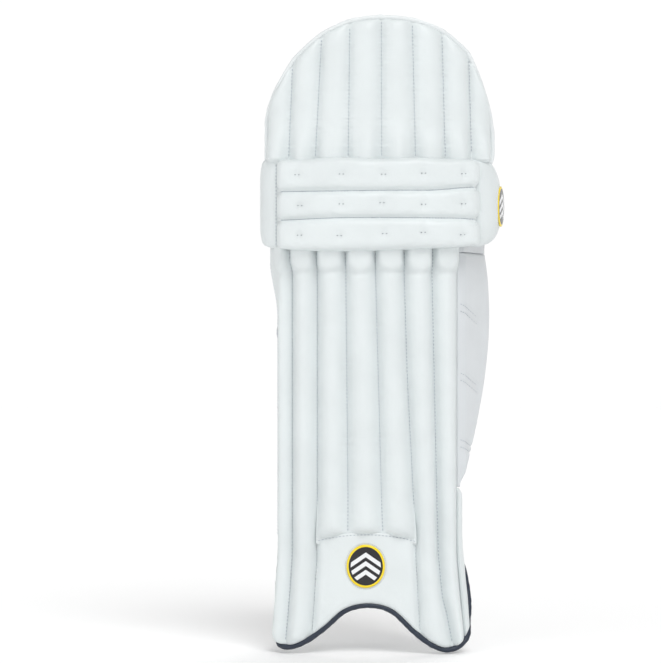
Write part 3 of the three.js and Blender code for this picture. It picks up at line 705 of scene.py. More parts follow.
def plain_cloth(name, colour, rough=0.8, weave=0.8, depth=0.15, sheen=0.2):
    f = Finish(name, Sheen_Weight=sheen, Sheen_Roughness=0.4)
    x, y, z = f.place()
    dark = tuple(c * 0.8 for c in colour)
    f.colour(f.mix(f.noise(8, 4), colour, dark))
    f.roughness(f.noise(4, 2) * 0.12 + rough - 0.06)
    warp = ((x + z) / weave).fraction() - 0.5
    weft = ((x - z) / weave).fraction() - 0.5
    f.bump(warp.abs() * depth, weft.abs() * depth, f.noise(0.3, 2) * 0.08)
    return f.material


def navy_piping(name, tint=(0.040, 0.052, 0.082), coat=0.2):
    f = Finish(name, Coat_Weight=coat, Coat_Roughness=0.3)
    f.colour(f.mix(f.noise(6, 4), tint, tuple(c * 1.5 for c in tint)))
    f.roughness(f.noise(5, 3) * 0.2 + 0.38)
    f.bump(f.cells(0.9, "SMOOTH_F1") * 0.07, f.noise(5, 2) * 0.35)
    return f.material


def badge_finish(name, half_width, half_height, rim=(0.89, 1.1)):
    """An oval crest: yellow rim, black field and white chevrons. The UV map is centred on it."""
    f = Finish(name, Roughness=0.3, Coat_Weight=0.5, Coat_Roughness=0.05)
    f.shader.inputs["Specular IOR Level"].default_value = 0.3
    u, v, _ = f.place("UV")
    eu, ev = u / half_width, v / half_height
    radius = (eu * eu + ev * ev).math("SQRT")
    colour = f.mix(radius > rim[0], (0.008, 0.008, 0.010), YELLOW)
    colour = f.mix(radius > rim[1], colour, PRINT_WHITE)
    lift = (v + u.abs() * 0.72) / half_height
    inside = radius < rim[0] - 0.11
    for low, high in ((0.02, 0.24), (0.42, 0.64), (-0.38, -0.16)):
        colour = f.mix((lift > low) * (lift < high) * inside, colour, PRINT_WHITE)
    f.colour(f.mix(f.noise(6, 3).step(0.6, 0.9) * 0.1, colour, (0.5, 0.5, 0.5)))
    f.bump((radius > rim[0]) * (radius < rim[1]) * 0.3, inside * 0.15, f.noise(8, 1) * 0.15)
    return f.material


def tab_finish(length):
    """Moulded pull tab: a white pointed half with a neon border and a navy half, both with slanted fine ribs.

    The UV map runs along it from its sewn end, and up from its middle line, in mm."""
    f = Finish("moulded_tab", Coat_Weight=0.3, Coat_Roughness=0.2)
    u, v, _ = f.place("UV")
    slant = u - v * 1.06
    tip = ((u * -1.0 + length) * 0.935 - v.abs()) * 0.73
    rim = (v.abs() * -1.0 + 21.5).least(tip)
    ribs = ((slant / 3.9).fraction() - 0.5).abs()
    white_ribs = (ribs < 0.14) * (rim > 6.2) * (slant > 64.0)
    grey_ribs = (ribs < 0.20) * (rim > 5.2) * (slant < 48.0) * (slant > 8.0) * (u > 6.5) * (v < 10.5)
    colour = f.mix(slant > 58.5, (0.022, 0.026, 0.085), (0.76, 0.77, 0.80))
    colour = f.mix((rim > 1.6) * (rim < 5.4) * (slant > 62.0), colour, (0.70, 0.96, 0.08))
    colour = f.mix(white_ribs, colour, (0.03, 0.034, 0.05))
    colour = f.mix(grey_ribs, colour, (0.20, 0.21, 0.28))
    f.colour(f.mix(f.noise(7, 3).step(0.6, 0.9) * 0.12, colour, (0.45, 0.46, 0.5)))
    f.roughness(f.noise(5, 3) * 0.15 + 0.34)
    f.bump(white_ribs * 0.3, grey_ribs * 0.3, (rim < 5.4) * 0.35, f.noise(0.8, 2) * 0.05)
    return f.material


LEATHER = white_leather("white_leather")
LEATHER_BACK = white_leather("white_leather_lining", (0.745, 0.765, 0.75), 0.7)
# The wing's leather is a darker, bluer copy of the white leather: painted shade for the wing's side, which
# turns away from the light.
SHADED_WING_LEATHER = white_leather("white_leather_wing_painted_shade", (0.665, 0.695, 0.715))
CUFF = white_leather("white_binding", (0.75, 0.785, 0.79), 0.8, False)
PIPING = navy_piping("navy_binding", (0.013, 0.020, 0.036), 0.05)
# The seam thread is real stitching, but its dark grey-blue stands for the shade in its needle holes: painted
# shade.
SEAM_THREAD_PAINTED_SHADE = plain_cloth("thread", (0.46, 0.51, 0.57), 0.7, 0.35, 0.05)
OVERLOCK = plain_cloth("overlock_thread", (0.78, 0.79, 0.80), 0.7, 0.35, 0.05)
TUFT = plain_cloth("tuft_thread", (0.16, 0.18, 0.22), 0.7, 0.35, 0.05)
HOOK = plain_cloth("hook_tape", (0.020, 0.020, 0.026), 0.95, 1.4, 0.5, 0.5)
FLAP_STRIPES = [
    (YELLOW, (-90, 607), (-6.1, 512), 6.6, (-90.5, 20, 500, 615)),
    (NEON, (-3.2, 513), (45.8, 557), 5.6, (-8, 140, 500, 700)),
    (NEON, (-126, 531), (-102, 506), 3.0, (-140, -90, 490, 560)),
    (YELLOW, (-108, 619.5), (-89.5, 606.5), 6.0, (-125, -90, 596, 640)),
]
LINING = printed_lining("printed_lining", FLAP_STRIPES)
CUP_STRIPES = [(YELLOW, (-20, 425), (20, 406), 6.0, (-11, 17, 400, 423))]
CUP_PRINT = printed_lining("printed_cup", CUP_STRIPES, "hexagon")
CUSHION_PRINT = printed_lining(
    "printed_cushion",
    [
        (YELLOW, (-17, 398), (27, 348), 6.0, (-40, 40, 340, 420)),
        (NEON, (-2, 398), (27, 366), 4.0, (-40, 40, 350, 420)),
        (YELLOW, (-27, 214), (27, 150), 5.0, (-40, 40, 140, 230)),
        (NEON, (-27, 176), (27, 236), 4.0, (-40, 40, 165, 250)),
    ],
    "blocks",
)
MESH = mesh_fabric()


def paint(obj, material, slot, soft=None):
    """Gives a piece its material. slot and soft are not used."""
    obj.data.materials.clear()
    obj.data.materials.append(material)
    return obj


# ------------------------------------------------------------------ ribs


def seam_at(table, z):
    """A seam's place at height z, from pairs of (z, s) in falling z."""
    heights, places = zip(*table)
    return np.interp(z, heights[::-1], places[::-1])


SHIN_SEAMS = [
    [(400, -101), (-60, -101)],
    [(400, -88), (-60, -88)],
    [(400, -59), (82, -59), (-20, -60), (-60, -61)],
    [(400, -27), (82, -24)],
    [(400, 5.6), (82, 14)],
    [(400, 37.5), (254, 42), (82, 51), (-20, 52), (-60, 53)],
    [(400, 69.6), (254, 73), (82, 77), (8, 79.5), (-10, 83), (-60, 88)],
    [(400, 100), (-60, 100)],
]
RIB_COLUMNS = 0.5 - 0.5 * np.cos(np.pi * np.arange(15) / 14)


def rib_profile(share, power=1.8, root=1.1, sewn=0.035):
    """Section of a rib, 1 at its crown and 0 where it is sewn down."""
    across = np.minimum(1, np.abs(2 * share - 1) / (1 - 2 * sewn))
    return (1 - across**power) ** (1 / root)


def shin_seam(k, z):
    return seam_at(SHIN_SEAMS[k], z)


def rib_grid(first, last, seam, bottom, top, rows, rounds=3):
    """s, z, share and rib number over a row of ribs, with seams seam(k, z) and ends bottom(s) and top(s)."""
    shares = np.append(np.tile(RIB_COLUMNS[:-1], last - first), 1.0)
    ribs = np.append(np.repeat(np.arange(first, last), len(RIB_COLUMNS) - 1), last - 1)
    v = np.tile(np.linspace(0, 1, rows)[:, None], (1, len(shares)))
    s = np.zeros_like(v)
    z = bottom(s) + (top(s) - bottom(s)) * v
    for _ in range(rounds):
        for k in range(first, last):
            low, high = seam(k, z), seam(k + 1, z)
            s = np.where(ribs == k, low + (high - low) * shares, s)
        z = bottom(s) + (top(s) - bottom(s)) * v
    return s, z, np.broadcast_to(shares, s.shape), np.broadcast_to(ribs, s.shape)


def rib_surface(s, z, share, seed, height):
    """Rise of a rib: crowned, sewn down at its seams, with small puckers along them."""
    crown = rib_profile(share)
    edge = np.minimum(share, 1 - share) * 30
    puckers = along_noise(seed, z, 7.5) * 0.42 * np.exp(-((edge / 5.5) ** 2)) * smooth(edge / 1.2)
    body = waves(seed + 1, s, z, 70) * 0.5 + waves(seed + 2, s, z, 24) * 0.16
    return (height + body) * crown + puckers


def seam_lift(z):
    """The seams between the ribs come forward under the knee rolls."""
    return 4.5 * smooth((z - 372) / 18)


def shin_rise(s, z, share, seed, height=12.5):
    """Rise of a shin rib. Under the knee rolls it is creased and ends in a fuller stub."""
    rise = rib_surface(s, z, share, seed, height)
    across = np.abs(2 * share - 1)
    fold = 373 + 2.5 * waves(9, s, 0 * z, 60) + 5 * across**2
    stub = smooth((0.98 - across) / 0.4) * smooth((z - fold) / 7)
    crease = np.exp(-(((z - fold) / 3.0) ** 2)) * smooth((0.95 - across) / 0.3)
    rise = rise + (2.0 + 1.6 * smooth((z - fold - 4) / 22)) * stub - 1.3 * crease
    full = rib_profile(share, 4.5, 1.9)
    rise = rise + height * (full - rib_profile(share)) * smooth((z - fold + 4) / 16)
    return rise + seam_lift(z) * (1 - full) + 1.2


def foot_fade(s, z, reach=15.0):
    """A rib's height falls to nothing at the foot binding."""
    return quarter_round((z - foot_edge(s)) / reach)


for name, first, last, nodes in (
    ("shin_ribs_inner", 0, 2, ["shin_facing_inner", "shin_cane_1"]),
    ("shin_ribs_outer", 5, 7, ["shin_facing_outer", "shin_cane_5", "shin_cane_6"]),
):
    s, z, share, _ = rib_grid(first, last, shin_seam, foot_edge, lambda s: TUCKED, 190)
    rise = 1.2 + (shin_rise(s, z, share, 20 + first) - 1.2) * (0.16 + 0.84 * foot_fade(s, z))
    piece = slab(name, shin, s, z, rise, 0.2)
    paint(piece, LEATHER, "leather", 0.8)
    over_knee(piece)
    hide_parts(*nodes)

# The three middle ribs end in soft rounded ends over the instep.


def instep_seam(s):
    """Height of the seam where the middle ribs end: a shallow arch."""
    return MIDDLE_RIBS_END + 0.5 - 8 * ((s + 4.5) / 55) ** 2


def end_lift(z):
    """The middle ribs stand further forward where they lie over the instep's padding."""
    return 5.6 * (1 - smooth((z - 78) / 48))


s, z, share, _ = rib_grid(2, 5, shin_seam, lambda s: MIDDLE_RIBS_END - 12, lambda s: TUCKED, 170)
end_line = instep_seam(s) + 2.2 * (1 - rib_profile(share, 2.2, 2.0))
rise = 1.2 + (shin_rise(s, z, share, 40) - 1.2) * quarter_round((z - end_line) / 14) + end_lift(z)
piece = slab("shin_ribs_middle", shin, s, z, rise, 0.2)
paint(piece, LEATHER, "leather", 0.8)
over_knee(piece)
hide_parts("shin_facing_middle", "shin_cane_2", "shin_cane_3", "shin_cane_4")

for k in range(1, 7):
    ends_over_instep = k in (3, 4)
    low = MIDDLE_RIBS_END + 3 if ends_over_instep else foot_edge(SHIN_SEAMS[k][-1][1]) + 6
    z = np.linspace(float(low), 397, 260)
    depth = 1.45 + seam_lift(z) + end_lift(z) * ends_over_instep
    stitch_on("shin_guard", shin, shin_seam(k, z), z, depth)

# ------------------------------------------------------------------ instep

columns = np.linspace(-63.5, 57, 60)
s, z = panel(columns, 50, foot_edge(columns), instep_seam(columns) + 1.5)
left, right = shin_seam(2, z), shin_seam(5, z)
s = np.clip(s, left + 0.2, right - 0.2)
inner_gap = np.minimum(s - left, right - s)
pad_height = 7.2 * smooth(inner_gap / 10 + 0.15) ** 0.7 * (0.25 + 0.75 * foot_fade(s, z, 10))
rise = 1.4 + pad_height + 0.35 * waves(61, s, z, 40) * smooth(inner_gap / 12)
piece = slab("instep_panel", shin, s, z, rise, 0.2)
paint(piece, LEATHER, "leather", 0.6)
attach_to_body(piece, "shin_guard")
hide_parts("instep_facing", "instep_foam")
s = np.linspace(-57, 50, 200)
stitch_on("shin_guard", shin, s, instep_seam(s) - 1.2, 8.6)


def badge_height(r):
    """Height of a badge at share r of its radius: a dome inside a rounded rim."""
    if r < 0.74:
        return 0.9 + 1.5 * math.sqrt(1 - (r / 0.86) ** 2)
    return 0.9 + 0.75 * (1 - 0.9 * smooth((r - 0.86) / 0.14))


def oval_badge(name, place, s0, z0, n, width, height, node, body, side=1, rim=(0.89, 1.1)):
    """A domed oval on the surface, with its own centred UV map. side is -1 on the leg's side."""
    rings, around = 14, 64
    angle = np.arange(around) * math.tau / around
    points, uvs = [], []
    for r, rise in [(k / rings, badge_height(k / rings)) for k in range(rings + 1)] + [(1, 0)]:
        u, v = r * width / 2 * np.cos(angle), r * height / 2 * np.sin(angle)
        points.append(place.at(s0 + u, z0 + v, n + side * rise))
        uvs.append(np.stack([u, v], -1) * 0.001)
    faces = ring_faces(rings + 2, around) + ring_ends(rings + 2, around)[1:]
    piece = make(name, np.concatenate(points), faces, np.concatenate(uvs))
    fix_normals(piece, merge=True)
    paint(piece, badge_finish(f"finish_{name}", width / 2, height / 2, rim), "badge")
    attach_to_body(piece, body)
    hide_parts(node)


CREST_S, CREST_Z, CREST_WIDTH, CREST_HEIGHT = -4.5, 46.5, 41, 48
oval_badge(
    "crest_instep", shin, CREST_S, CREST_Z, 8.9, CREST_WIDTH, CREST_HEIGHT, "instep_badge", "shin_guard"
)
angle = np.linspace(0, math.tau, 120)
s = CREST_S + (CREST_WIDTH / 2 + 1.4) * np.cos(angle)
z = CREST_Z + (CREST_HEIGHT / 2 + 1.4) * np.sin(angle)
stitch_on("shin_guard", shin, s, z, 9.0, pitch=2.4, length=1.6, radius=0.2)

# ------------------------------------------------------------------ bindings


def binding(name, path, normals, radius, material, slot, attach, node, flatten=0.72):
    """A round binding along an edge, handed to attach afterwards."""
    wobble = 1 + 0.05 * along_noise(5, run_of(path), 14)
    piece = tube(name, path, radius * wobble, 14, flatten, normals)
    paint(piece, material, slot)
    attach(piece)
    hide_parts(node)


sweep = np.linspace(INNER_EDGE, ANKLE_EDGE, 260)
proud = 2.0 + 3.2 * smooth((sweep - 112) / 18)
start = shin.at(INNER_EDGE, np.linspace(66, float(edge_z(INNER_EDGE)) + 4, 16), 2.0)
end_heights = np.linspace(float(edge_z(ANKLE_EDGE)) + 4, 66, 20)
end_offset = 2.0 + 3.2 * smooth((52 - end_heights) / 42) - 5.5 * smooth((end_heights - 40) / 16)
end = shin.at(ANKLE_EDGE, end_heights, end_offset)
path = softened(np.concatenate([start, shin.at(sweep, edge_z(sweep), proud), end]), 6)
outward = np.concatenate(
    [
        shin.outward(INNER_EDGE, start[:, 2]),
        shin.outward(sweep, edge_z(sweep)),
        shin.outward(ANKLE_EDGE, end[:, 2]),
    ]
)


def on_shin(piece):
    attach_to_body(piece, "shin_guard")


binding("foot_binding", path, outward, 3.1, PIPING, "piping", on_shin, "bottom_piping", 1.15)
OVERLOCKED = dict(pitch=4.2, length=2.9, radius=0.4, kind="overlock")
trim = np.linspace(-136, 128, 260)
stitch_on("shin_guard", shin, trim, edge_z(trim) + 4.2, -1.7, **OVERLOCKED)

# ------------------------------------------------------------------ shin backing and sides

columns = np.concatenate([np.linspace(INNER_EDGE + 3.5, -84, 36), np.linspace(-82, 99.5, 60)])
low, top_line = foot_edge(columns), knee_floor(columns) + 1
s, z = panel(columns, 150, low, top_line)
panel_seams = sum(np.exp(-(((np.abs(s) - seam) / 1.6) ** 2)) for seam in (43, 70))
quilt = 0.8 * (1 - np.minimum(1, panel_seams)) * smooth((z - foot_edge(s)) / 9)
piece = slab("shin_lining", shin, s, z, 0.0, -1.0 - quilt - 0.25 * waves(71, s, z, 26))
paint(piece, LEATHER_BACK, "canvas")
over_knee(piece)
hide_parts("shin_backing")
area = float(np.trapz(top_line - low, columns)) * 1e-6
for seam in (-70, -43, 43, 70):
    z = np.linspace(float(foot_edge(seam)) + 7, 60, 60)
    stitch_on("shin_guard", shin, seam, z, -1.5, lift=-0.1)

# The inner side stands up along the calf: a soft pad with a rounded back edge.
columns = np.linspace(INNER_EDGE + 3.2, -101.4, 34)
low, top_line = foot_edge(columns), knee_floor(columns) + 1
s, z = panel(columns, 150, low, top_line)
rounding = quarter_round((s - (INNER_EDGE + 3.2)) / 6)
ends = smooth((z - low) / 8 + 0.2) * (0.4 + 0.6 * smooth((top_line - z) / 9))
rise = 1.0 + 5.6 * rounding * ends * (0.75 + 0.25 * smooth((-s - 101) / 8)) + 0.3 * waves(81, s, z, 50)
piece = slab("inner_side_pad", shin, s, z, rise, 0.2)
paint(piece, LEATHER, "leather", 0.7)
over_knee(piece)
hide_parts("inner_side_facing", "inner_side_foam")
z = np.linspace(75, 385, 200)
stitch_on("shin_guard", shin, INNER_EDGE + 7.5, z, 6.3)
stitch_on("shin_guard", shin, INNER_EDGE + 7.5, z, -1.8, **{**OVERLOCKED, "radius": 0.38})

# The outer side of the ankle.
columns = np.linspace(100.5, ANKLE_EDGE - 3.2, 26)
low, top_line = foot_edge(columns), 132.4 - 0.3 * (columns - 100)
s, z = panel(columns, 60, low, top_line)
rounding = quarter_round((ANKLE_EDGE - 3.2 - s) / 6)
ends = smooth((z - low) / 8 + 0.2) * smooth((top_line - z) / 6 + 0.12)
rise = 0.6 + (4.4 - 1.6 * smooth((z - 40) / 40)) * rounding * ends + 0.25 * waves(83, s, z, 40)
piece = slab("ankle_side_pad", shin, s, z, rise, -1.2)
paint(piece, LEATHER, "leather", 0.6)
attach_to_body(piece, "shin_guard")
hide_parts("ankle_side")

# ------------------------------------------------------------------ calf wing

WING_SEAM, WING_DEPTH, WIDEST = 101, 99, 328
WING_LOW, WING_HIGH = 133, 397
QUILT_HEIGHTS = (340, 332, 262, 254, 187, 179)


def wing_depth(z):
    """How far the wing reaches back from its seam."""
    reach = np.where(z < WIDEST, 197, 185)
    return WING_DEPTH * np.cos(np.pi / 2 * (WIDEST - z) / reach)


def quilt_line(height, s):
    """Height of a quilting line, which slants down towards the wing's back edge."""
    return height - 0.3 * (s - WING_SEAM)


def wing_swell(s):
    """The wing is thin at its seam and full 12 mm from it."""
    return np.minimum(1, 0.1 + (s - WING_SEAM) / 12)


z_rows = np.linspace(WING_LOW, WING_HIGH, 120)[:, None]
shares = 0.5 - 0.5 * np.cos(np.pi * np.linspace(0, 1, 40))
back_edge = WING_SEAM + np.maximum(wing_depth(z_rows), 4.5)
s = WING_SEAM + (back_edge - WING_SEAM) * shares
z = np.broadcast_to(z_rows, s.shape)
from_edge = np.minimum(back_edge - s, (WING_HIGH - z_rows) * 0.9 + 2.6)
from_edge = np.minimum(from_edge, (z_rows - WING_LOW) * 0.5 + 0.5)
rounding = quarter_round(from_edge / 6)
grooves = sum(np.exp(-(((z - quilt_line(height, s)) / 1.8) ** 2)) for height in QUILT_HEIGHTS)
groove = np.minimum(1, grooves * smooth((158 - s) / 8))
rise = 0.8 + 5.8 * wing_swell(s) * rounding * (1 - 0.26 * groove) + 0.3 * waves(91, s, z, 40)
piece = slab("calf_wing_pad", wing, s, z, rise, -1.0 - 0.5 * rounding)
# The wing pad takes the darker copy of the white leather: painted shade.
paint(piece, SHADED_WING_LEATHER, "leather", 0.6)
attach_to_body(piece, "calf_wing")
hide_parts("wing_facing", "wing_foam", "wing_lining")
for height in QUILT_HEIGHTS:
    s = np.linspace(WING_SEAM + 3, WING_SEAM + 52, 60)
    s = s[s < WING_SEAM + wing_depth(quilt_line(height, s)) - 5]
    if len(s) > 4:
        z = quilt_line(height, s)
        stitch_on("calf_wing", wing, s, z, 0.9 + 5.8 * wing_swell(s) * 0.74)
        stitch_on("calf_wing", wing, s, z, -1.7, pitch=4.2)

# ------------------------------------------------------------------ knee rolls


def roll_edge(i, s):
    """Height of the rolls' lowest edge, their two seams and their highest edge. None is quite straight."""
    if i == 0:
        return KNEE_BOTTOM - 2.6 * smooth((70 - s) / 130)
    if i == 1:
        return ROLL_SEAMS[0] + 2.4 * smooth((s + 110) / 90) - 1.0 * smooth((s - 90) / 30)
    if i == 2:
        return ROLL_SEAMS[1] + 1.0 * smooth((s + 60) / 120) + 4.5 * smooth((s - 55) / 65)
    return KNEE_TOP + 0.6 + 1.1 * np.cos(math.tau * (s + 33) / 84) * smooth((95 - s) / 30)


ROLL_ENDS, ROLL_RISE = (-103, 122), 23.0
TUFTS = (-75, -31, 13, 54, 97)


def off_backing(co):
    """Roughly how far points stand in front of the knee's backing."""
    return np.hypot(co[:, 0], knee.radius - (co[:, 1] - KNEE_Y)) - knee.radius


def knee_roll(i, which):
    """A stuffed roll, drawn in at five tufts, blown up as cloth and sewn down along its back."""
    stations = np.linspace(*ROLL_ENDS, 92)
    angle = np.linspace(0, math.pi, 15)
    rings = []
    for s0 in stations:
        squeeze = float(quarter_round(min(s0 - ROLL_ENDS[0], ROLL_ENDS[1] - s0) / 13))
        out = ROLL_RISE * (0.34 + 0.66 * squeeze)
        low, high = float(roll_edge(i, s0)), float(roll_edge(i + 1, s0))
        half = ((high - low) / 2 - 0.1) * (0.7 + 0.3 * squeeze)
        n = 1.2 + (out - 1.2) * np.sin(angle) ** 0.5
        z = (low + high) / 2 - half * np.sign(np.cos(angle)) * np.abs(np.cos(angle)) ** 0.32
        floor = float(knee_floor(s0)) - KNEE_BOTTOM + low if i == 0 else low
        rings.append(knee.at(s0, np.maximum(z, floor), n))
    faces = ring_faces(len(rings), len(angle)) + ring_ends(len(rings), len(angle))
    piece = make(f"knee_roll_{which}", np.concatenate(rings), faces)
    rng = np.random.default_rng(100 + i)
    tufts = []
    for s0 in TUFTS:
        middle = (roll_edge(i, s0) + roll_edge(i + 1, s0)) / 2
        tufts.append(knee.at(s0 + rng.uniform(-2, 2), middle + rng.uniform(-1.5, 1.5), ROLL_RISE))

    def held(co):
        weight = smooth((4.5 - off_backing(co)) / 2.5)
        for tuft in tufts:
            weight = np.maximum(weight, np.linalg.norm(co - tuft, axis=1) < 3.2)
        return weight

    inflate(piece, held, pressure=7, cap=2.2, voxel=3.6)
    co = coordinates(piece)
    for tuft in tufts:
        away = np.linalg.norm(co - tuft, axis=1)
        co[:, 1] += 1.6 * np.exp(-((away / 3.4) ** 2)) + 1.5 * np.exp(-((away / 9.5) ** 2))
    set_coordinates(piece, co)
    subdivide(piece)
    paint(piece, LEATHER, "leather", 0.75)
    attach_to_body(piece, "knee_roll")
    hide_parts(f"knee_roll_{which}_cover", f"knee_roll_{which}_foam")
    for tuft in tufts:
        for side in (-2.1, 2.1):
            centre = tuft + np.array([side, 1.4, 0])
            line = centre + np.linspace(-0.9, 0.9, 5)[:, None] * np.array([1.0, 0, 0.15])
            ahead = np.tile([0, -1.0, 0], (5, 1))
            stitch("knee_roll", line, ahead, pitch=1.8, length=1.6, radius=0.45, lift=0.75, kind="tufts")


for i, which in enumerate(("lower", "middle", "upper")):
    knee_roll(i, which)
# Between two rolls the leather dips to the seam in a narrow cusp.
for i, which in ((1, "lower"), (2, "upper")):
    across = np.linspace(*ROLL_ENDS, 160)
    dip = np.linspace(-1, 1, 17)[:, None]
    dip = 3.6 * np.sign(dip) * dip**2
    z = roll_edge(i, across) + dip
    s = np.broadcast_to(across, z.shape)
    ends = 0.35 + 0.65 * smooth(np.minimum(across - ROLL_ENDS[0], ROLL_ENDS[1] - across) / 9)
    front = 1.5 + (15.2 + 1.9 * (np.abs(dip) / 2) ** 0.6 + 0.3 * waves(151, s, z, 12)) * ends
    strip = slab(f"roll_seam_{which}", knee, s, z, front, 1.3)
    paint(strip, LEATHER, "leather", 0.9)
    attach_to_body(strip, "knee_roll")
    s = np.linspace(-96, 114, 200)
    stitch_on("knee_roll", knee, s, roll_edge(i, s), 17.0, pitch=3.4)
stitch_on("knee_roll", knee, -104.8, np.linspace(404, 497, 60), 6.4)

# ------------------------------------------------------------------ knee backing and sides

columns = np.linspace(-161, 176, 150)
low, high = knee_floor(columns), knee_ceiling(columns)
s, z = panel(columns, 26, low, high)
piece = slab("knee_lining", knee, s, z, 0.0, -1.2 + 0.2 * waves(111, s, z, 30))
paint(piece, LEATHER_BACK, "canvas")
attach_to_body(piece, "knee_roll")
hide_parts("knee_backing")
area = float(np.trapz(high - low, columns)) * 1e-6

# A soft gusset fills the gap between the calf wing's top and the knee, and hangs behind the wing.
levels = np.concatenate(
    [np.linspace(384, 396.8, 10), np.linspace(397.05, 397.65, 4), np.linspace(398.3, 404, 18)]
)
s, level = np.meshgrid(np.linspace(98.5, 184, 46), levels)
z = level + 0.11 * (s - 98.5) * smooth((level - 397.6) / 6)
sway = 0.3 * waves(113, s, z, 18)
bulge = 8.8 * smooth((level - 397) / 0.7) * (0.5 + 0.5 * smooth((s - 101) / 8)) * smooth((185 - s) / 5)
piece = slab("wing_gusset", wing, s, z, sway - 3.0 + bulge, sway - 4.2)
# The gusset takes the wing's darker leather too: painted shade.
paint(piece, SHADED_WING_LEATHER, "leather", 0.3)
over_knee(piece)


LEG_FACE = -1.6  # offset at which the cushions on the leg's side are sewn on
SHIN_CUSHIONS_TOP = 387


def cushion(
    name, nodes, place, span, low, high, depth, material, slot,
    crown, corner, cap, base=LEG_FACE, rows=40, columns=34,
):
    """A crowned pad that stands off the surface at offset base by depth (negative is towards the leg).

    It covers the span of s between the heights low(s) and high(s)."""
    u, v = np.linspace(-1, 1, columns), np.linspace(-1, 1, rows)[:, None]
    u, v = (0.6 * np.sin(np.pi / 2 * t) + 0.4 * t for t in (u, v))
    s = (span[0] + span[1]) / 2 + (span[1] - span[0]) / 2 * u * (1 - corner * v**4 * 0.25)
    lowest, highest = low(s), high(s)
    z = (lowest + highest) / 2 + (highest - lowest) / 2 * v * (1 - corner * u**4 * 0.25)
    swell = (np.maximum(0, 1 - np.abs(u) ** crown) * np.maximum(0, 1 - np.abs(v) ** crown)) ** 0.42
    tall = depth * swell
    piece = slab(name, place, s, z, base + tall, base)
    sewn = np.concatenate([smooth((3 - np.abs(tall)) / 1.5).ravel(), np.ones(tall.size)])
    inflate(piece, sewn, pressure=5, cap=cap, shrink=-0.02)
    subdivide(piece)
    paint(piece, material, slot, 0.6)
    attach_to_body(piece, "knee_roll" if place is knee else "shin_guard")
    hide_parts(*nodes)


cushion(
    "knee_side_outer_pad", ["knee_side_outer"], knee, (114, 178),
    lambda s: knee_floor(s) - 2 + 8 * np.clip((s - 150) / 28, 0, 1) ** 2,
    lambda s: knee_ceiling(s) + 6 - 19 * np.clip((s - 138) / 40, 0, 1) ** 2,
    16.5, LEATHER, "leather", crown=3.2, corner=0.15, cap=3, base=0.3,
)
cushion(
    "knee_side_inner_pad", ["knee_side_inner"], knee, (-163, -96),
    lambda s: knee_floor(s) - 2.5 + 3 * np.clip((-s - 140) / 23, 0, 1) ** 2,
    lambda s: knee_ceiling(s) + 6 - 9 * np.clip((-s - 135) / 28, 0, 1) ** 2,
    6.2, LEATHER, "leather", crown=8, corner=0.05, cap=1.8, base=0.3,
)
oval_badge("crest_knee", knee, 157, 450, 16.4, 34, 46, "knee_badge", "knee_roll")
cushion(
    "knee_cup", ["knee_cup_cover", "knee_cup_foam"], knee, (-40, 40),
    lambda s: KNEE_BOTTOM + 8.5, lambda s: KNEE_TOP + 7,
    -22, CUP_PRINT, "print_lining", crown=9, corner=0.2, cap=2.5,
)
for side, span in (("inner", (-143, -41)), ("outer", (41, 151))):
    cushion(
        f"knee_bolster_{side}_pad", [f"knee_bolster_{side}"], knee, span,
        lambda s: knee_floor(s) + 4.5, lambda s: knee_ceiling(s) + 6,
        -17, LEATHER_BACK, "leather", crown=6, corner=0.15, cap=4, columns=60,
    )

# Loose thread ends where the cup's corner is sewn.
for i, (s0, lean) in enumerate(((-39, -7), (-38, 4), (39.5, 3))):
    t = np.linspace(0, 1, 12)
    line = knee.at(s0 + lean * t**1.5, 505 + 9 * t - 3 * t**2, -8.5 - 5.5 * np.sin(np.pi * t * 0.8))
    end_piece = tube(f"thread_end_{i}", line, 0.5, 8)
    paint(end_piece, OVERLOCK, "thread")
    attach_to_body(end_piece, "knee_roll")

# ------------------------------------------------------------------ shin bolsters and cushion

for side, span in (("inner", (-84, -28.5)), ("outer", (28.5, 84))):
    cushion(
        f"mesh_bolster_{side}_pad", [f"mesh_bolster_{side}"], shin, span,
        lambda s: 61, lambda s: SHIN_CUSHIONS_TOP,
        -27, MESH, "mesh_fabric", crown=4, corner=0.2, cap=4.5, rows=90,
    )
cushion(
    "shin_cushion", ["shin_cushion_cover", "shin_cushion_foam"], shin, (-25.5, 25.5),
    lambda s: 64, lambda s: SHIN_CUSHIONS_TOP,
    -23, CUSHION_PRINT, "print_lining", crown=6, corner=0.15, cap=3, rows=90,
)

# ------------------------------------------------------------------ top flap


def flap_seam(k, z):
    return FLAP_SEAMS[k] + FLAP_FAN[k] * FAN_EASE * (z - 560) / 80


s, z, share, rib = rib_grid(0, 8, flap_seam, lambda s: FLAP_TUCKED, lambda s: flap_outline(s) - 1.5, 120, 4)
top_gap = flap_outline(s) - 1.5 - z
from_seam = np.minimum(share, 1 - share) * 32
rise = 8.5 * rib_profile(share, 2.4, 1.15)
low_part = np.exp(-(((z - 508) / 24) ** 2))
funnel = smooth((538 - z) / 34)
rise *= 1 - 0.22 * np.exp(-(((z - 546) / 18) ** 2))
rise = rise * (1 - 0.25 * funnel) + 5.2 * funnel * rib_profile(share, 1.5, 1.0)
fan = np.sin((share - 0.5) * 11 + rib * 2.1) * 0.7 * low_part * smooth(from_seam / 5)
rise += fan + along_noise(7, z, 9) * 0.55 * np.exp(-((from_seam / 6) ** 2)) * smooth(from_seam / 1.2)
rise += (waves(121, s, z, 60) * 0.6 + waves(122, s, z, 22) * 0.22) * rib_profile(share)
fade = quarter_round(top_gap / 16)
tuck = smooth((502 - z) / 7) * np.maximum(smooth((-s - 98) / 7), smooth((s - 116) / 7))
rise = 1.4 + rise * (0.12 + 0.88 * fade) * (1 - 0.85 * tuck)
piece = slab("flap_ribs", flap, s, z, rise, 0.2)
paint(piece, LEATHER, "leather", 0.75)
over_flap(piece)
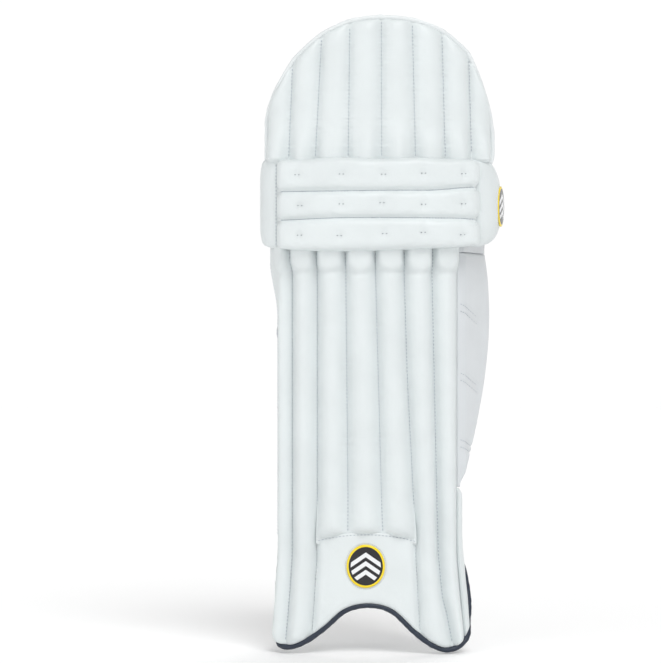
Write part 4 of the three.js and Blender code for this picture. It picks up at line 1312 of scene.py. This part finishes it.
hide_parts("flap_facing", "flap_cane_1", "flap_cane_2", "flap_cane_3", "flap_cane_4")
for k in range(1, 8):
    z = np.linspace(504 if k < 7 else 510, 655, 200)
    s = flap_seam(k, z)
    keep = z < flap_outline(s) - 6
    stitch_on("top_flap", flap, s[keep], z[keep], 1.6)

left, right = -119.8, 143.7
columns = np.linspace(left, right, 110)
high = flap_outline(columns) - 1.8
s, z = panel(columns, 80, FLAP_TUCKED + 2, high)
from_edge = np.minimum(np.minimum(high - z, (s - left) * 0.9 + 0.4), (right - s) * 0.9 + 0.4)
rounding = quarter_round(from_edge / 7)
soft = 0.55 * waves(131, s, z, 34) + 0.25 * waves(132, s, z, 13)
drag = np.sin((s + 0.4 * z) / 6.5) * np.exp(-((from_edge / 16) ** 2)) * 0.35
piece = slab("flap_lining_pad", flap, s, z, 0.0, -0.8 - (3.9 + soft + drag) * rounding)
paint(piece, LINING, "print_lining", 0.4)
over_flap(piece)
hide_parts("flap_lining")
oval_badge("crest_flap", flap, 0, 591, -5.4, 68, 80, "flap_badge", "top_flap", -1, rim=(0.75, 0.86))

left, right = -122.7, 146.7
columns = np.linspace(left, right, 220)
beside = (columns < FLAP_SEAMS[0]) | (columns > FLAP_SEAMS[-1])
tops = flap_outline(columns) - 3 * beside
path = np.concatenate(
    [
        flap.at(left, np.linspace(495, float(flap_outline(left)) - 4, 10), 1.5),
        flap.at(columns, tops, 1.5),
        flap.at(right, np.linspace(float(flap_outline(right)) - 4, 508, 9), 1.5),
        flap.at([146.4, 145.2, 142.8], [504, 500, 496], [1.5, 1.1, 0.3]),
    ]
)
facing = np.tile([0.0, -1.0, 0.05], (len(path), 1))
binding("flap_binding", softened(path, 2), facing, 2.7, CUFF, "leather", over_flap, "flap_piping", 0.85)
s = np.concatenate([np.full(20, -115.0), np.linspace(-115, 139, 200), np.full(20, 139.0)])
z = flap_outline(s) - 5.5
z[:20], z[-20:] = np.linspace(518, z[20], 20), np.linspace(z[-21], 518, 20)
at = flap.at(s, z, -5.0)
stitch("top_flap", at, -flap.outward(s, z), pitch=2.8, length=2.0, radius=0.42, kind="overlock")

# ------------------------------------------------------------------ straps


def catmull_rom(points, count=1200):
    """The strap line the CAD uses: a centripetal spline through points, evenly spaced along its length."""
    p = np.asarray(points, float)
    dense = []
    for k in range(len(p) - 1):
        p1, p2 = p[k], p[k + 1]
        p0 = p[k - 1] if k else 2 * p[0] - p[1]
        p3 = p[k + 2] if k + 2 < len(p) else 2 * p[-1] - p[-2]
        d0, d1, d2 = (max(np.linalg.norm(b - a) ** 0.5, 1e-4) for a, b in ((p0, p1), (p1, p2), (p2, p3)))
        t1 = ((p1 - p0) / d0 - (p2 - p0) / (d0 + d1) + (p2 - p1) / d1) * d1
        t2 = ((p2 - p1) / d1 - (p3 - p1) / (d1 + d2) + (p3 - p2) / d2) * d1
        t = np.linspace(0, 1, 80, endpoint=k == len(p) - 2)[:, None]
        c0, c1 = p1, t1
        c2, c3 = -3 * p1 + 3 * p2 - 2 * t1 - t2, 2 * p1 - 2 * p2 + t1 + t2
        dense.append(c0 + c1 * t + c2 * t**2 + c3 * t**3)
    dense = np.concatenate(dense)
    run = run_of(dense)
    even = np.linspace(0, run[-1], count)
    return np.stack([np.interp(even, run, dense[:, i]) for i in range(3)], -1), run[-1]


def strap_line(place, inner_place, z, outer_s, behind_leg, inner_s):
    """From the root on the outer side, round behind the leg, to the inner side."""
    points = [place.at(s, z, SEWN) for s in outer_s]
    points += [np.array([x, y, z]) for x, y in behind_leg]
    points += [inner_place.at(s, z, LOOP) for s in inner_s]
    return catmull_rom(points)


SEWN, LOOP = -4.2, 0.2  # offsets of a strap's line at its root and at its loop band
STATIONS = 44  # a strap's line is divided into stations, and hinge and end are two of them
STRAPS = {
    "top": dict(
        line=strap_line(
            knee, knee, 446, (154, 165, 177),
            ((126, 8), (106, 40), (64, 62), (8, 67), (-50, 58), (-94, 34), (-114, 4)), (-162, -154, -146),
        ),
        half=17, tilt=0.07, hinge=4, end=39, body="knee_roll", child="strap_top", looped_to="knee_roll",
    ),
    "middle": dict(
        line=strap_line(
            wing, shin, 305, (160, 178, 197),
            ((124, 44), (100, 62), (55, 71), (0, 69), (-50, 58), (-88, 35), (-101, 8)), (-149, -140, -124),
        ),
        half=26, tilt=0.02, hinge=6, end=39, body="calf_wing", child="strap_middle", looped_to="shin_guard",
    ),
    "bottom": dict(
        line=strap_line(
            shin, shin, 98, (116, 126, 137),
            ((100, -10), (84, 28), (44, 53), (0, 59), (-45, 50), (-82, 28), (-98, 4)), (-149, -140, -124),
        ),
        half=25, tilt=-0.03, hinge=4, end=38, body="shin_guard", child="strap_bottom", looped_to="shin_guard",
    ),
}


def station_run(strap, station):
    """Length along a strap's line at a station."""
    return station / STATIONS * strap["line"][1]


def strap_point(strap, run):
    """The point at a length along a strap's line."""
    line, length = strap["line"]
    grid = np.linspace(0, length, len(line))
    return np.stack([np.interp(run, grid, line[:, i]) for i in range(3)], -1)


def strap_outward(strap, run):
    """The way out from the leg at a length along a strap's line."""
    ahead = strap_point(strap, run + 0.8) - strap_point(strap, run - 0.8)
    return unit(np.stack([ahead[..., 1], -ahead[..., 0], 0 * run], -1))


def strap_path(strap, first, last):
    """Lengths along a strap's line between two stations, the points there and the strap's middle height."""
    start, stop = station_run(strap, first), station_run(strap, last)
    run = np.linspace(start, stop, max(4, int((stop - start) / 2.2)))
    at = strap_point(strap, run)
    return run, at, at[:, 2] - strap["tilt"] * at[:, 0]


def ribbon(name, strap, first, last, low, high, half, seed):
    """A band along a strap's line, between two stations and two offsets, with soft edges."""
    run, at, middle = strap_path(strap, first, last)
    across = np.array([-1, -0.985, -0.94, -0.8, -0.55, -0.25, 0, 0.25, 0.55, 0.8, 0.94, 0.985, 1.0])
    thick = np.array([0.25, 0.72, *[1] * 9, 0.72, 0.25])
    ripple = 0.35 * along_noise(seed, run, 40)[:, None] * across**2
    ripple += 0.12 * waves(seed + 3, run[:, None], across * half, 16)
    faces = []
    for sign in (1, -1):
        offset = (low + high) / 2 + ripple + sign * (high - low) / 2 * thick
        face = at[:, None] + strap_outward(strap, run)[:, None] * offset[..., None]
        face[..., 2] = middle[:, None] + across * half
        faces.append(face)
    return closed_sheet(name, *faces, (run - run[0])[:, None], across * half + half)


for name, strap in STRAPS.items():
    half, hinge, end, child = strap["half"], strap["hinge"], strap["end"], strap["child"]
    piece = ribbon(f"strap_{name}", strap, 0, end, 0.0, 2.0, half, 140 + half)
    paint(piece, strap_fabric(half), "webbing")
    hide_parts(f"strap_{name}_anchor", f"strap_{name}_webbing")
    fold = [tuple(strap_point(strap, station_run(strap, hinge + by)) * 0.001) for by in (-0.8, 1.0)]
    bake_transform(piece)
    hook = ribbon(f"strap_{name}_hooks", strap, end - 9, end - 0.6, -1.3, -0.5, half - 4, 150)
    paint(hook, HOOK, "hook_tape")
    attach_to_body(hook, child)
    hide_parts(f"strap_{name}_hook_tape")
    band = ribbon(f"strap_{name}_loops", strap, 24, STATIONS, -3.1, -1.9, half, 160)
    paint(band, strap_fabric(half, plain=True), "webbing")
    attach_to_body(band, strap["looped_to"])
    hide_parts(f"strap_{name}_loop_band")
    # Rows of stitches cross the strap at its root, near its free end and where the hook tape starts.
    run, at, middle = strap_path(strap, 0, end)
    for station in (0.5, 1.6, end - 0.7, end - 9.2):
        k = int(round(station / end * (len(at) - 1)))
        out = strap_outward(strap, run[k])
        points = np.tile(at[k] + out * 2.15, (40, 1))
        points[:, 2] = middle[k] + np.linspace(-half + 1.5, half - 1.5, 40)
        body = child if station > hinge else strap["body"]
        stitch(body, points, np.tile(out, (40, 1)), pitch=3.0, length=2.3, radius=0.38, kind="overlock")

# The pull tab: a slanted sewn end, a step in its top edge and a pointed tip.
strap = STRAPS["middle"]
start, stop = station_run(strap, 26), station_run(strap, 39)
share = np.concatenate([[0, 0.004], np.linspace(0.012, 0.985, 90), [0.993, 0.998, 1.0]])[:, None]
across = np.array([-1, -0.985, -0.95, -0.85, -0.6, -0.3, 0, 0.3, 0.6, 0.85, 0.95, 0.985, 1.0])
run = start + (stop - start) * share + 11 * (0.5 - across / 2) * (1 - share) ** 3
along = (stop - start) * share
tip = np.clip(((stop - start) * (1 - share) + 1.5) / 24, 0, 1)
upper = (13.5 + 8 * smooth((along - 19) / 7)) * tip
lower = (24.5 - 3.5 * smooth((along - 30) / 8)) * tip
v = np.where(across > 0, across * upper, across * lower)
at, out = strap_point(strap, run), strap_outward(strap, run)
end_gap = np.minimum(np.minimum(along, (stop - start) - along), 1.2) / 1.2
thick = np.array([0.2, 0.7, *[1] * 9, 0.7, 0.2]) * (0.3 + 0.7 * np.sqrt(end_gap))
curl = 0.8 * smooth((along - 70) / 45)
faces = []
for sign in (1, -1):
    face = at + out * (3.55 + curl + sign * 1.05 * thick)[..., None]
    face[..., 2] = at[..., 2] - strap["tilt"] * at[..., 0] + v
    faces.append(face)
tab = closed_sheet("pull_tab_moulded", *faces, run - start, v)
paint(tab, tab_finish(stop - start), "tab")
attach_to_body(tab, "pull_tab")
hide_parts("pull_tab")

# ------------------------------------------------------------------ thread

for (body, kind), (parts, faces) in thread.items():
    piece = make(f"{kind}_{body}", np.concatenate(parts), faces)
    # Plain seam stitching gets the thread darkened with painted shade of its needle holes.
    paint(piece, {"tufts": TUFT, "overlock": OVERLOCK}.get(kind, SEAM_THREAD_PAINTED_SHADE), "thread")
    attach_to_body(piece, body)

# ------------------------------------------------------------------ floor, light and camera

FLOOR_REACH = 9000
floor_z = cad_box[0][2] * 1000 - 1.0
corners = [(x * FLOOR_REACH, y * FLOOR_REACH, floor_z) for x, y in ((-1, -1), (1, -1), (1, 1), (-1, 1))]
floor = make("floor", corners, [[0, 1, 2, 3]])
studio = Finish("studio_floor", Roughness=0.8)
studio.shader.inputs["Specular IOR Level"].default_value = 0.1
studio.colour(studio.mix(studio.noise(300, 2), (0.985, 0.985, 0.985), (0.99, 0.99, 0.99)))
floor.data.materials.append(studio.material)

# A white studio: bright walls up to a little above the horizon and a dimmer ceiling.
world = bpy.data.worlds.new("studio")
bpy.context.scene.world = world
world.use_nodes = True
nodes, links = world.node_tree.nodes, world.node_tree.links
direction, split = nodes.new("ShaderNodeTexCoord"), nodes.new("ShaderNodeSeparateXYZ")
level = nodes.new("ShaderNodeMapRange")
level.interpolation_type = "SMOOTHSTEP"
level.inputs["From Min"].default_value, level.inputs["From Max"].default_value = 0.16, 0.34
level.inputs["To Min"].default_value, level.inputs["To Max"].default_value = 1.02, 0.32
links.new(direction.outputs["Generated"], split.inputs[0])
links.new(split.outputs["Z"], level.inputs["Value"])
links.new(level.outputs["Result"], nodes["Background"].inputs["Strength"])
nodes["Background"].inputs["Color"].default_value = (1, 1, 1, 1)


def sun(name, azimuth, elevation, spread, power):
    """A soft light from far away. azimuth turns from the pad's front towards its outer side."""
    light = bpy.data.lights.new(name, "SUN")
    light.angle, light.energy = math.radians(spread), power
    lamp = bpy.data.objects.new(name, light)
    lamp.rotation_euler = (math.radians(90 - elevation), 0, math.radians(azimuth))
    bpy.context.scene.collection.objects.link(lamp)


sun("key", 20, 50, 34, 1.5)
sun("fill", -45, 25, 60, 0.5)
sun("back", 165, 50, 40, 1.0)

# The camera looks straight at the front. It stands a little to the inner side of the pad.
LENS, SENSOR = 135, 36
HALF_VIEW = 0.3693  # half of the width seen at the pad, in metres
camera_data = bpy.data.cameras.new("camera")
camera_data.lens, camera_data.sensor_width, camera_data.clip_end = LENS, SENSOR, 50
camera = bpy.data.objects.new("camera", camera_data)
bpy.context.scene.collection.objects.link(camera)
distance = HALF_VIEW * LENS / (SENSOR / 2)
camera.location = (-0.044, -0.095 - distance, 0.308)
camera.rotation_euler = (math.pi / 2, 0, 0)
bpy.context.scene.camera = camera
bpy.context.scene.view_settings.view_transform = "Standard"
